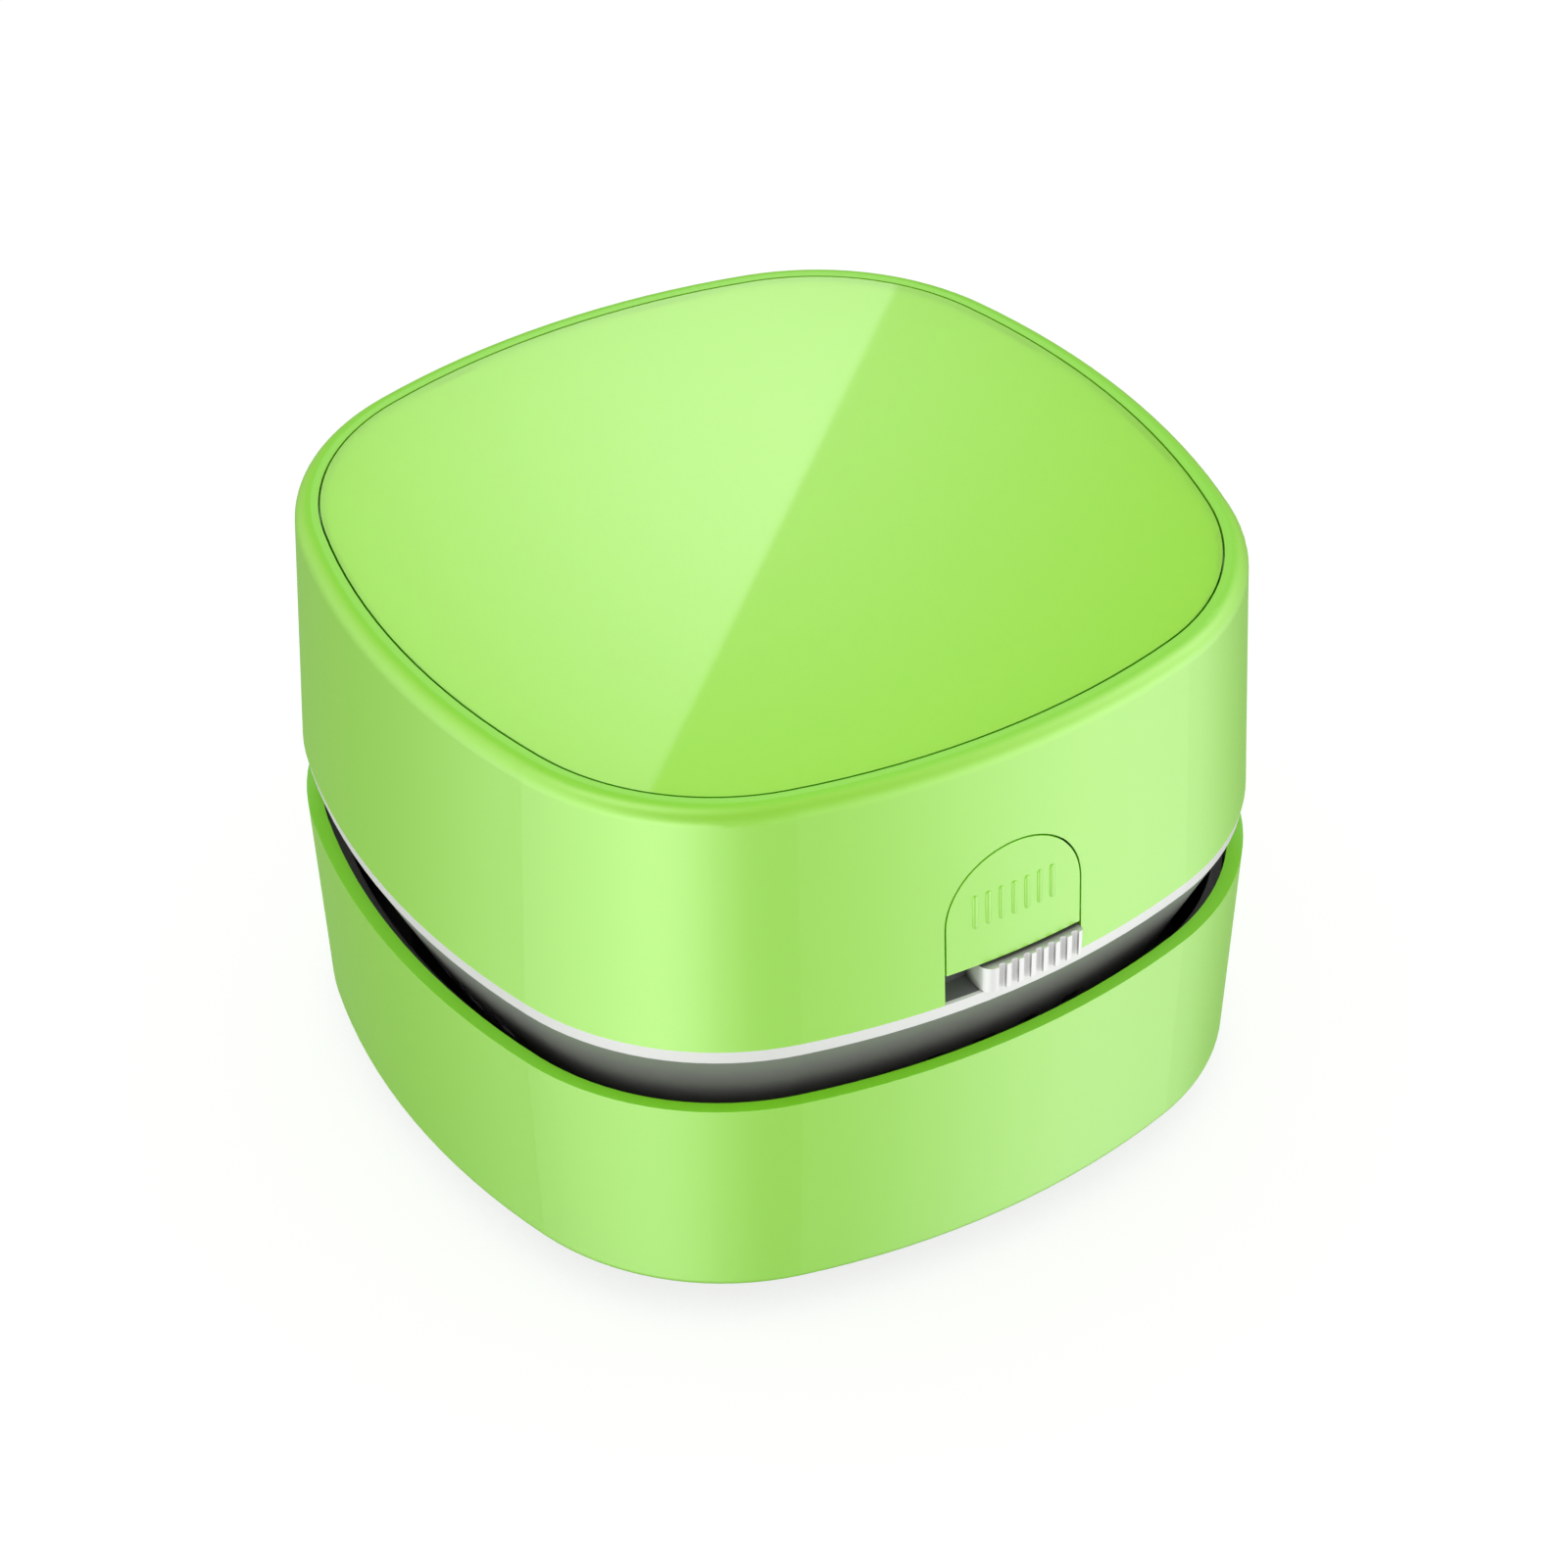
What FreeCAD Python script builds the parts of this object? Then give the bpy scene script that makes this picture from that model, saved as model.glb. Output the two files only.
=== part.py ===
"""Desktop mini vacuum cleaner, millimetres.

A rounded-square body in two halves. The lower half holds the dust box and slides over the desk on
four feet, with a suction mouth inside a ring of bristles. The upper half lifts off it: a white frame
plate that carries the motor and fan in a dark bowl below, and two AA cells, the slide switch and the
push button under a green cover above, whose top is a clear plate over a shallow pocket. The fan
draws air through mouth, dust box and filter, and blows it out of the open slot between the halves.

Frame: origin on the desk at the centre of the footprint, +Z up, switch and button on the -Y side.
"""
import FreeCAD, Part
import math
import os

Vector = FreeCAD.Vector

# ---- outline seen from above: four long side arcs joined by four tighter corner arcs
half_width = 42.5            # at the cover's bottom edge
side_radius = 80.0
corner_radius = 26.24

# ---- heights of the layers, from the desk up
desk_gap = 4.0               # under the lower shell
lower_height = 23.06         # lower shell, bottom edge to rim
air_slot = 5.6               # open slot between the rim and the frame plate
frame_thickness = 1.51
cover_height = 26.53

# ---- walls and drafts
lower_foot_inset = 0.96      # the lower shell narrows downwards
lower_rim_growth = 0.11
lower_edge_round = 0.8
rim_width = 1.54
rim_fall = 0.26              # the rim slopes down inwards
frame_edge_draft = 0.26
cover_draft = 2.4            # degrees
cover_wall = 1.8
cover_top_round = 1.6
cover_roof = 1.2             # under the pocket
top_plate_inset = 3.55
top_plate_thickness = 1.0
top_plate_gap = 0.2
pocket_depth = 3.7           # from the cover's top to the pocket's floor
pocket_ledge = 0.5           # carries the top plate

# ---- clearances
slip = 0.3                   # between moulded walls that slide past each other
snug = 0.2                   # between moulded pieces that stay together
shaft_play = 0.03            # radial, in the motor's bushes

# ---- base: plate in a rebate under the lower shell, with mouth, bristles, feet and screws
shell_foot_wall = 2.04
base_recess = 0.2            # the plate lies this far above the shell's edge
base_thickness = 1.4
ledge_thickness = 1.4
mouth_radius = 12.0
riser_radius = 8.0
riser_wall = 1.2
riser_top = 13.0
funnel_wall = 1.0
brush_gap = 1.1              # base plate metal left between funnel and brush groove
brush_width = 3.8
brush_drop = 1.6             # below the base plate
groove_depth = 0.6
tuft_count = 24
tuft_radius = 0.9
tuft_lift = 0.25             # bristle tips above the desk
foot_radius = 4.0
foot_chamfer = 0.5
foot_margin = 2.5            # base plate left outside a foot

# ---- dust cup
cup_wall = 1.0
cup_floor = 1.2
cup_rim_drop = 2.0           # below the inner edge of the shell's rim
dust_wall_inset = 9.0
dust_wall = 1.2
dust_depth = 10.3            # cup floor to the seat of the upper half

# ---- fan bowl
bowl_top_inset = 0.3
bowl_slope = 0.48            # inset gained per millimetre down
bowl_wall = 1.5
bowl_floor = 1.5
bowl_edge_round = 1.2
skirt_wall = 1.2
skirt_depth = 3.4
gasket_depth = 0.7
eye_radius = 14.0
vent_width = 2.4
vent_height = 3.2
vent_pitch = 5.2
vents_per_side = 5
boss_radius = 2.7
boss_margin = 1.25           # between a boss and the bowl's wall at the floor

# ---- filter
filter_radius = 20.5
filter_rim = 3.0
filter_height = 1.6
filter_bar = 1.2
filter_collar = 1.2
mesh_step = 0.9
mesh_thickness = 0.5

# ---- impeller
fan_radius = 23.0
fan_floor_gap = 0.8
blade_height = 5.0
blade_thickness = 0.8
blade_count = 9
blade_inner_radius = 9.0
blade_bow = 4.0              # how far a blade's middle stands off its chord
fan_disc = 1.0
fan_hub_radius = 3.5
fan_top_gap = 0.9

# ---- motor, a flat-sided can
motor_radius = 10.05
motor_flat = 7.55            # from the axis to each flat
can_length = 20.5
can_wall = 0.8
end_cap_length = 4.6
motor_boss_radius = 3.05
shaft_radius = 1.0
socket_wall = 1.2
socket_floor = 1.3
socket_height = 11.0
magnet_inner_radius = 7.0
magnet_span = 76.0           # degrees
armature_radius = 6.3
armature_length = 10.0
armature_lift = 4.0          # above the can's floor
pole_width = 2.6
pole_lip = 1.1
pole_gap = 24.0              # degrees between pole shoes
winding_thickness = 1.0
winding_gap = 0.2
commutator_radius = 2.3
commutator_length = 4.0
terminal_width = 2.4
terminal_thickness = 0.4
terminal_height = 1.4
terminal_spread = 4.6
arm_width = 6.0
arm_nose = 0.9
nose_height = 1.2

# ---- frame plate's upper side
rim_height = 2.2             # locating rim inside the cover
locating_rim = 1.2
lip_height = 1.4             # locating lip inside the bowl's mouth
lip_wall = 1.0

# ---- AA cells and their tray
cell_radius = 7.25
cell_length = 50.5
cell_nub_radius = 2.75
cell_nub = 1.0
cell_spread = 21.0           # from the middle to a cell's axis
cell_play = 0.25
tray_floor = 1.0
tray_wall = 1.0
tray_end_wall = 1.2
tray_front = -25.8           # inner face of the front end walls
tray_end_height = 12.0
tray_bridge = 12.0           # strip that joins the cradles at the back
contact_thickness = 0.4
contact_width = 9.0
contact_height = 9.0
spring_space = 3.7
spring_radius = 3.4
spring_tip_radius = 2.2
spring_wire = 0.6
spring_turns = 3

# ---- leads between motor, switch and contacts
lead_radius = 0.5
lead_bend = 2.0
lead_spread = 0.7            # from the middle to each lead at the switch
lead_hole_half_width = 2.0
lead_hole_height = 2.0

# ---- screws
screw_radius = 1.0
screw_clearance = 0.3
screw_head_radius = 2.0
screw_head = 0.8
base_screw_length = 7.0
frame_screw_length = 8.0

# ---- front notch, push button and slide switch
notch_half_width = 7.5
notch_top = 15.93            # above the cover's bottom edge
switch_slot = 3.33           # below the button
button_gap = 0.2
button_travel = 1.5
stem_half_width = 5.0
stem_length = 5.2
stem_bottom = 2.3            # above the button's lower edge
stem_height = 6.5
guide_wall = 1.2
guide_length = 8.1
guide_height = 13.8
peg_size = 1.2
peg_reach = 1.0
peg_from_plate = 3.4
button_spring_radius = 1.8
button_spring_wire = 0.4
button_spring_turns = 5
spring_pocket = 1.6
hook_thickness = 1.0
hook_half_width = 3.0
hook_short = 0.15            # nose to catch, drawn apart so that the cover lifts by itself
catch_reach = 1.0
catch_height = 1.1
catch_above_arch = 0.5
knob_width = 11.0
knob_depth = 2.7
knob_proud = 0.65            # beyond the frame plate's edge
knob_foot_gap = 0.1          # above the switch tray
knob_head_gap = 0.45         # below the button
knob_corner = 1.3
knob_end_round = 0.4
groove_radius = 0.42
groove_pitch = 1.36
groove_count = 7
groove_margin = 1.0          # from the knob's end to the last groove
switch_lip = 0.4             # edge of the frame plate in front of the tray
switch_tray_floor = 0.6
switch_tray_back = 0.8
knob_back_gap = 0.3
knob_stem_width = 2.0
knob_stem_height = 1.6
lever_size = 1.3
switch_length = 8.6
switch_depth = 3.6
switch_height = 4.3
switch_gap = 0.4

# ---- cover's inner side
rib_thickness = 1.2
rib_length = 30.0
rib_gap = 0.5                # above the cells

# ---- levels and places that follow
over = 1.0                   # how far a cutting body runs past what it cuts
shell_bottom = desk_gap
rim_level = shell_bottom + lower_height
frame_bottom = rim_level + air_slot
frame_top = frame_bottom + frame_thickness
cover_top = frame_top + cover_height
cover_slope = math.tan(math.radians(cover_draft))
ledge_level = cover_top - top_plate_thickness
pocket_floor = cover_top - pocket_depth
roof_underside = pocket_floor - cover_roof
base_bottom = shell_bottom + base_recess
base_top = base_bottom + base_thickness
ledge_top = base_top + ledge_thickness
cup_floor_top = ledge_top + cup_floor
seat_level = cup_floor_top + dust_depth
bowl_floor_top = seat_level + bowl_floor
blade_bottom = bowl_floor_top + fan_floor_gap
fan_top = blade_bottom + blade_height + fan_disc
socket_bottom = fan_top + fan_top_gap
motor_front = socket_bottom + socket_floor
can_top = motor_front + can_length
motor_top = can_top + end_cap_length
rim_inset = rim_width - lower_rim_growth
wall_rise = (lower_foot_inset + lower_rim_growth) / lower_height
shell_foot_inset = lower_foot_inset + shell_foot_wall
cup_foot_inset = shell_foot_inset + snug
shell_lean = (shell_foot_inset - rim_inset) / (rim_level - rim_fall - ledge_top)
cup_rim_inset = rim_inset + shell_lean * cup_rim_drop + snug
cup_top = rim_level - rim_fall - cup_rim_drop
brush_inner_radius = mouth_radius + funnel_wall + brush_gap
brush_bottom = base_bottom - brush_drop
cell_bay_radius = cell_radius + cell_play
cell_axis = frame_top + tray_floor + cell_bay_radius
tray_back = tray_front + 2 * contact_thickness + cell_length + spring_space
notch_axis = frame_top + notch_top - notch_half_width
button_bottom = frame_top + switch_slot
knob_right = notch_half_width - button_gap
knob_left = knob_right - knob_width
knob_travel = 2 * knob_right - knob_width
knob_bottom = frame_top + knob_foot_gap
knob_top = button_bottom - knob_head_gap
front = -half_width
button_inner = front + cover_wall
guide_front = button_inner + cover_slope * guide_height + slip + button_travel
guide_back = guide_front + guide_length
stem_back = button_inner + stem_length
spring_level = button_bottom + stem_bottom + stem_height / 2
tray_low_end = tray_front - tray_end_wall
lead_floor = frame_top + lead_radius + button_gap
lead_side = (motor_flat + snug + socket_wall + cell_spread - cell_bay_radius - tray_wall) / 2
lead_front = (guide_back + tray_low_end) / 2
solder_level = motor_top + terminal_height / 2


def block(x_range, y_range, z_range):
    """Box between two limits on each axis."""
    size = [high - low for low, high in (x_range, y_range, z_range)]
    return Part.makeBox(*size, Vector(x_range[0], y_range[0], z_range[0]))


def rod(radius, bottom, top, x=0.0, y=0.0):
    """Upright cylinder between two levels."""
    return Part.makeCylinder(radius, top - bottom, Vector(x, y, bottom))


def tube(outer, inner, bottom, top):
    """Upright pipe on the centre line."""
    return rod(outer, bottom, top).cut(rod(inner, bottom - over, top + over))


def rod_y(radius, start, end, x, level):
    """Cylinder along Y between two places."""
    return Part.makeCylinder(radius, end - start, Vector(x, start, level), Vector(0, 1, 0))


def turned(shape, degrees):
    """A copy turned about the centre line."""
    copy = shape.copy()
    copy.rotate(Vector(0, 0, 0), Vector(0, 0, 1), degrees)
    return copy


def mirrored(shape):
    """A copy on the other side of the middle plane x = 0."""
    return shape.mirror(Vector(0, 0, 0), Vector(1, 0, 0))


def four_times(shape):
    """The shape and its copies at the other three quarter turns."""
    return [turned(shape, quarter) for quarter in (0, 90, 180, 270)]


def corner_centre():
    """Centre of a corner arc, the same along X and Y, where it runs on from the side arcs."""
    bow = side_radius - half_width
    reach = side_radius - corner_radius
    return (math.sqrt(2 * reach ** 2 - bow ** 2) - bow) / 2


def diagonal_place(inset):
    """Where the outline crosses the diagonal, the same along X and Y."""
    return corner_centre() + (corner_radius - inset) / math.sqrt(2)


def outline(inset, level):
    """The rounded square at one level, as eight tangent arcs, moved inwards by inset."""
    bow = side_radius - half_width
    reach = side_radius - corner_radius
    side = side_radius - inset
    along = corner_centre() / reach * side
    across = (corner_centre() + bow) / reach * side - bow
    diagonal = diagonal_place(inset)
    side_arc = Part.Arc(Vector(-along, across, level), Vector(0, half_width - inset, level),
                        Vector(along, across, level)).toShape()
    corner_arc = Part.Arc(Vector(along, across, level), Vector(diagonal, diagonal, level),
                          Vector(across, along, level)).toShape()
    edges = []
    for quarter in range(4):
        edges.append(turned(side_arc, -90 * quarter))
        edges.append(turned(corner_arc, -90 * quarter))
    return Part.Wire(edges)


def slab(inset, bottom, top):
    """Straight-sided solid on the outline."""
    return Part.Face(outline(inset, bottom)).extrude(Vector(0, 0, top - bottom))


def stack(*sections):
    """Solid ruled through outlines, each given as (inset, level) from the bottom up."""
    return Part.makeLoft([outline(inset, level) for inset, level in sections], True, True)


def wall(outer_inset, thickness, bottom, top):
    """Straight wall that follows the outline."""
    hollow = slab(outer_inset + thickness, bottom - over, top + over)
    return slab(outer_inset, bottom, top).cut(hollow)


def edges_at(shape, level):
    """The shape's edges that lie at one level."""
    box_at = 1e-4
    return [edge for edge in shape.Edges
            if abs(edge.BoundBox.ZMin - level) < box_at and abs(edge.BoundBox.ZMax - level) < box_at]


def coil(radius, tip_radius, wire, length, turns):
    """Compression spring along +Y from the origin, narrowing from radius to tip_radius."""
    rise = length - wire
    lean = math.degrees(math.atan2(tip_radius - radius, rise))
    path = Part.makeLongHelix(rise / turns, rise, radius, lean)
    start = Part.Wire(Part.makeCircle(wire / 2, Vector(radius, 0, 0), Vector(0, 1, 0)))
    spring = Part.Wire(path).makePipeShell([start], True, True)
    spring.rotate(Vector(0, 0, 0), Vector(1, 0, 0), -90)
    spring.translate(Vector(0, wire / 2, 0))
    return spring


def screw(head_bottom, length, x, y, direction):
    """Screw with a flat head, its shank running from the head along +Z or -Z."""
    head = rod(screw_head_radius, 0, screw_head)
    shank = rod(screw_radius, screw_head, screw_head + length)
    whole = head.fuse(shank).removeSplitter()
    if direction < 0:
        whole = whole.mirror(Vector(0, 0, 0), Vector(0, 0, 1))
    whole.translate(Vector(x, y, head_bottom))
    return whole


def lead(*points):
    """Insulated wire along straight runs that meet at rounded right angles."""
    corners = [Vector(*point) for point in points]
    edges = []
    start = corners[0]
    for before, corner, after in zip(corners, corners[1:], corners[2:]):
        inward = (corner - before).normalize()
        onward = (after - corner).normalize()
        bend_start = corner - inward * lead_bend
        bend_end = corner + onward * lead_bend
        middle = corner + (onward - inward) * lead_bend * (1 - math.sqrt(0.5))
        edges.append(Part.LineSegment(start, bend_start).toShape())
        edges.append(Part.Arc(bend_start, middle, bend_end).toShape())
        start = bend_end
    edges.append(Part.LineSegment(start, corners[-1]).toShape())
    section = Part.Wire(Part.makeCircle(lead_radius, corners[0], corners[1] - corners[0]))
    return Part.Wire(edges).makePipeShell([section], True, False)


def base_screw_place():
    """Distance from the middle to a base screw: midway between cup wall and dust wall."""
    return half_width - (cup_foot_inset + cup_wall + dust_wall_inset) / 2


def on_diagonals(place):
    """The four points at one distance from both axes."""
    return [(x, y) for x in (-place, place) for y in (-place, place)]


def foot_places():
    """Centres of the four feet, just inside the base plate's corners."""
    return on_diagonals(diagonal_place(shell_foot_inset + snug + foot_margin + foot_radius))


def boss_places():
    """Centres of the four screw bosses between bowl and frame plate."""
    floor_inset = bowl_inset(bowl_floor_top) + bowl_wall
    return on_diagonals(diagonal_place(floor_inset + boss_margin + boss_radius))


# ---------------------------------------------------------------- lower half

def lower_shell():
    """Green wall of the lower half, with a ledge that the base plate and the dust cup clamp."""
    outer = stack((lower_foot_inset, shell_bottom),
                  (-lower_rim_growth - wall_rise * over, rim_level + over))
    outer = outer.makeFillet(lower_edge_round, edges_at(outer, shell_bottom))
    rim_slope = rim_fall / rim_width
    hollow = stack((shell_foot_inset, ledge_top), (rim_inset, rim_level - rim_fall),
                   (rim_inset - rim_width - over, rim_level + rim_slope * over),
                   (rim_inset - rim_width - over, rim_level + 2 * over))
    rebate = slab(shell_foot_inset, shell_bottom - over, base_top)
    shell = outer.cut(hollow).cut(rebate)
    shell = shell.cut(rod(mouth_radius + funnel_wall + snug, base_top - over, ledge_top + over))
    hole = rod(screw_radius + screw_clearance, base_top - over, ledge_top + over, base_screw_place())
    return shell.cut(four_times(hole))


def dust_cup():
    """Black tub inside the shell: outer wall, floor with the riser, and the wall of the dust box."""
    cup = stack((cup_foot_inset, ledge_top), (cup_rim_inset, cup_top))
    cup = cup.cut(stack((cup_foot_inset + cup_wall, cup_floor_top), (cup_rim_inset + cup_wall, cup_top)))
    boss_size = (dust_wall_inset - cup_foot_inset - cup_wall) / 2 + snug
    boss = rod(boss_size, ledge_top, ledge_top + base_screw_length, base_screw_place())
    pieces = [wall(dust_wall_inset, dust_wall, ledge_top, seat_level),
              rod(riser_radius + riser_wall, ledge_top, riser_top)]
    cup = cup.fuse(pieces + four_times(boss))
    pilot_top = ledge_top + base_screw_length - cup_floor
    pilot = rod(screw_radius, ledge_top - over, pilot_top, base_screw_place())
    cup = cup.cut([rod(riser_radius, ledge_top - over, riser_top + over)] + four_times(pilot))
    return cup.removeSplitter()


def base_plate():
    """Dark plate under the shell, with the funnel that leads from the mouth up to the riser."""
    plate = slab(shell_foot_inset + snug, base_bottom, base_top)
    plate = plate.fuse(rod(mouth_radius + funnel_wall, base_bottom, ledge_top))
    funnel = Part.makeCone(mouth_radius, riser_radius, ledge_top - base_bottom, Vector(0, 0, base_bottom))
    groove_top = base_bottom + groove_depth
    groove = tube(brush_inner_radius + brush_width, brush_inner_radius, base_bottom - over, groove_top)
    cuts = [funnel, groove]
    cuts += [rod(foot_radius, base_bottom - over, groove_top, x, y) for x, y in foot_places()]
    head_room = rod(screw_head_radius + snug, base_bottom - over, base_bottom + screw_head,
                    base_screw_place())
    hole = rod(screw_radius + screw_clearance, base_bottom - over, base_top + over, base_screw_place())
    cuts += four_times(head_room) + four_times(hole)
    return plate.cut(cuts).removeSplitter()


def brush_ring():
    """Ring that holds the bristles around the mouth."""
    return tube(brush_inner_radius + brush_width, brush_inner_radius,
                brush_bottom, base_bottom + groove_depth)


def bristle_tufts():
    """Tufts of bristle under the ring, each a plain six-sided body."""
    place = brush_inner_radius + brush_width / 2
    corners = []
    for step in range(7):
        angle = math.radians(60 * step)
        corners.append(Vector(place + tuft_radius * math.cos(angle),
                              tuft_radius * math.sin(angle), tuft_lift))
    face = Part.Face(Part.makePolygon(corners))
    tuft = face.extrude(Vector(0, 0, brush_bottom - tuft_lift))
    return Part.makeCompound([turned(tuft, 360 / tuft_count * step) for step in range(tuft_count)])


def glide_feet():
    """Four soft pads that carry the cleaner."""
    feet = []
    for x, y in foot_places():
        foot = rod(foot_radius, 0, base_bottom + groove_depth, x, y)
        feet.append(foot.makeChamfer(foot_chamfer, edges_at(foot, 0)))
    return Part.makeCompound(feet)


def base_screws():
    """Four screws up through base plate and shell ledge into the dust cup."""
    length = base_screw_length - screw_head
    return Part.makeCompound(four_times(screw(base_bottom, length, base_screw_place(), 0, 1)))


# ---------------------------------------------------------------- upper half, below the frame plate

def bowl_inset(level):
    """Inset of the bowl's outer face at a level."""
    return bowl_top_inset + bowl_slope * (frame_bottom - level)


def gasket_ring(bottom, top):
    """The ring above the dust wall that the gasket fills."""
    return wall(dust_wall_inset, dust_wall, bottom, top)


def fan_bowl():
    """Dark bowl that closes the upper half below, with vents low in its wall."""
    bowl = stack((bowl_inset(seat_level), seat_level), (bowl_top_inset, frame_bottom))
    bowl = bowl.makeFillet(bowl_edge_round, edges_at(bowl, seat_level))
    bowl = bowl.cut(stack((bowl_inset(bowl_floor_top) + bowl_wall, bowl_floor_top),
                          (bowl_inset(frame_bottom + over) + bowl_wall, frame_bottom + over)))
    skirt_inset = dust_wall_inset + dust_wall + slip
    collar = tube(filter_radius + snug + filter_collar, filter_radius + snug,
                  seat_level - filter_height, bowl_floor_top)
    bosses = [rod(boss_radius, seat_level, frame_bottom, x, y) for x, y in boss_places()]
    skirt = wall(skirt_inset, skirt_wall, seat_level - skirt_depth, bowl_floor_top)
    bowl = bowl.fuse([skirt, collar] + bosses)
    cuts = [rod(eye_radius, seat_level - over, bowl_floor_top + over),
            gasket_ring(seat_level - over, seat_level + gasket_depth)]
    cuts += [rod(screw_radius, frame_bottom - frame_screw_length, frame_bottom + over, x, y)
             for x, y in boss_places()]
    vent_bottom = bowl_floor_top + fan_floor_gap
    inner = half_width - bowl_inset(bowl_floor_top) - bowl_wall - boss_radius
    for step in range(vents_per_side):
        middle = (step - (vents_per_side - 1) / 2) * vent_pitch
        vent = block((inner, half_width), (middle - vent_width / 2, middle + vent_width / 2),
                     (vent_bottom, vent_bottom + vent_height))
        cuts += four_times(vent)
    return bowl.cut(cuts).removeSplitter()


def seal_gasket():
    """Rubber ring let into the bowl's floor, which lands on the dust wall."""
    return gasket_ring(seat_level, seat_level + gasket_depth)


def filter_frame():
    """Round frame with a cross of bars, held in the collar under the fan's eye."""
    bottom = seat_level - filter_height
    inner = filter_radius - filter_rim
    bar_top = seat_level - mesh_step
    frame = tube(filter_radius, inner, bottom, seat_level)
    frame = frame.cut(rod(inner + filter_rim / 2, bar_top, seat_level + over))
    bars = [block((-inner - over, inner + over), (-filter_bar / 2, filter_bar / 2), (bottom, bar_top))]
    bars.append(turned(bars[0], 90))
    return frame.fuse(bars).removeSplitter()


def filter_mesh():
    """Fine disc that lies on the frame's bars."""
    bottom = seat_level - mesh_step
    radius = filter_radius - filter_rim / 2 - shaft_play
    return rod(radius, bottom, bottom + mesh_thickness)


def impeller():
    """Centrifugal fan: disc and hub above, bowed blades hanging below it."""
    disc_bottom = blade_bottom + blade_height
    fan = rod(fan_radius, disc_bottom, fan_top).fuse(rod(fan_hub_radius, blade_bottom, fan_top))
    start = Vector(blade_inner_radius, 0, blade_bottom)
    end = Vector(fan_radius - blade_thickness, 0, blade_bottom)
    middle = (start + end) / 2 + Vector(0, blade_bow, 0)
    step = Vector(0, blade_thickness, 0)
    face = Part.Face(Part.Wire([Part.Arc(start, middle, end).toShape(),
                                Part.LineSegment(end, end + step).toShape(),
                                Part.Arc(end + step, middle + step, start + step).toShape(),
                                Part.LineSegment(start + step, start).toShape()]))
    blade = face.extrude(Vector(0, 0, blade_height + fan_disc / 2))
    blades = [turned(blade, 360 / blade_count * count) for count in range(blade_count)]
    fan = fan.fuse(blades)
    return fan.cut(rod(shaft_radius, blade_bottom - over, fan_top + over)).removeSplitter()


# ---------------------------------------------------------------- motor

def motor_profile(growth, bottom, top):
    """Round body with two flats, grown outwards."""
    flat = motor_flat + growth
    body = rod(motor_radius + growth, bottom, top)
    sides = block((-flat, flat), (-2 * motor_radius, 2 * motor_radius), (bottom - over, top + over))
    return body.common(sides)


def motor_can():
    """Drawn steel can with its front boss, open at the back."""
    can = motor_profile(0, motor_front, can_top)
    can = can.cut(motor_profile(-can_wall, motor_front + can_wall, can_top + over))
    can = can.fuse(rod(motor_boss_radius, socket_bottom, motor_front + can_wall))
    bush = rod(shaft_radius + shaft_play, socket_bottom - over, motor_front + 2 * over)
    return can.cut(bush).removeSplitter()


def motor_magnets():
    """Two curved magnets against the can's round sides."""
    bottom = motor_front + armature_lift
    ring = tube(motor_radius - can_wall, magnet_inner_radius, bottom, bottom + armature_length)
    half = math.radians(magnet_span / 2)
    reach = 2 * motor_radius
    corners = [Vector(0, 0, bottom - over),
               Vector(-reach * math.sin(half), reach * math.cos(half), bottom - over),
               Vector(reach * math.sin(half), reach * math.cos(half), bottom - over),
               Vector(0, 0, bottom - over)]
    wedge = Part.Face(Part.makePolygon(corners)).extrude(Vector(0, 0, armature_length + 2 * over))
    magnet = ring.common(wedge)
    magnet = magnet.common(motor_profile(-can_wall, bottom, bottom + armature_length))
    return Part.makeCompound([magnet, turned(magnet, 180)])


def motor_end_cap():
    """Plastic end cap that closes the can."""
    cap = motor_profile(0, can_top, motor_top)
    window = block((-motor_radius, motor_radius), (-pole_width, pole_width),
                   (can_top + over, motor_top - over))
    core = block((-terminal_spread, terminal_spread), (-motor_radius, motor_radius),
                 (can_top, motor_top))
    cap = cap.cut(window.cut(core))
    return cap.cut(rod(shaft_radius + shaft_play, can_top - over, motor_top + over)).removeSplitter()


def motor_terminals():
    """Two solder tabs on the end cap."""
    tab = block((-terminal_width / 2, terminal_width / 2),
                (terminal_spread, terminal_spread + terminal_thickness),
                (motor_top, motor_top + terminal_height))
    return Part.makeCompound([tab, turned(tab, 180)])


def motor_shaft():
    """Steel shaft from the impeller's hub to the end cap."""
    return rod(shaft_radius, blade_bottom, motor_top - shaft_play)


def armature():
    """Three-pole rotor with its commutator, pressed on the shaft."""
    bottom = motor_front + armature_lift
    shoe_angle = 120 - pole_gap
    shoes = tube(armature_radius, armature_radius - pole_lip, bottom, bottom + armature_length)
    neck = block((0, armature_radius - pole_lip / 2), (-pole_width / 2, pole_width / 2),
                 (bottom, bottom + armature_length))
    half_gap = math.radians(pole_gap / 2)
    reach = 2 * armature_radius
    corners = [Vector(0, 0, bottom - over),
               Vector(reach * math.cos(half_gap), -reach * math.sin(half_gap), bottom - over),
               Vector(reach * math.cos(half_gap), reach * math.sin(half_gap), bottom - over),
               Vector(0, 0, bottom - over)]
    gap = Part.Face(Part.makePolygon(corners)).extrude(Vector(0, 0, armature_length + 2 * over))
    shoes = shoes.cut([turned(gap, 60 + 120 * pole) for pole in range(3)])
    core = rod(commutator_radius, bottom - over, can_top - commutator_length / 2)
    core = core.fuse([turned(neck, 120 * pole) for pole in range(3)] + [shoes])
    return core.cut(rod(shaft_radius, bottom - 2 * over, can_top + over)).removeSplitter()


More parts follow.
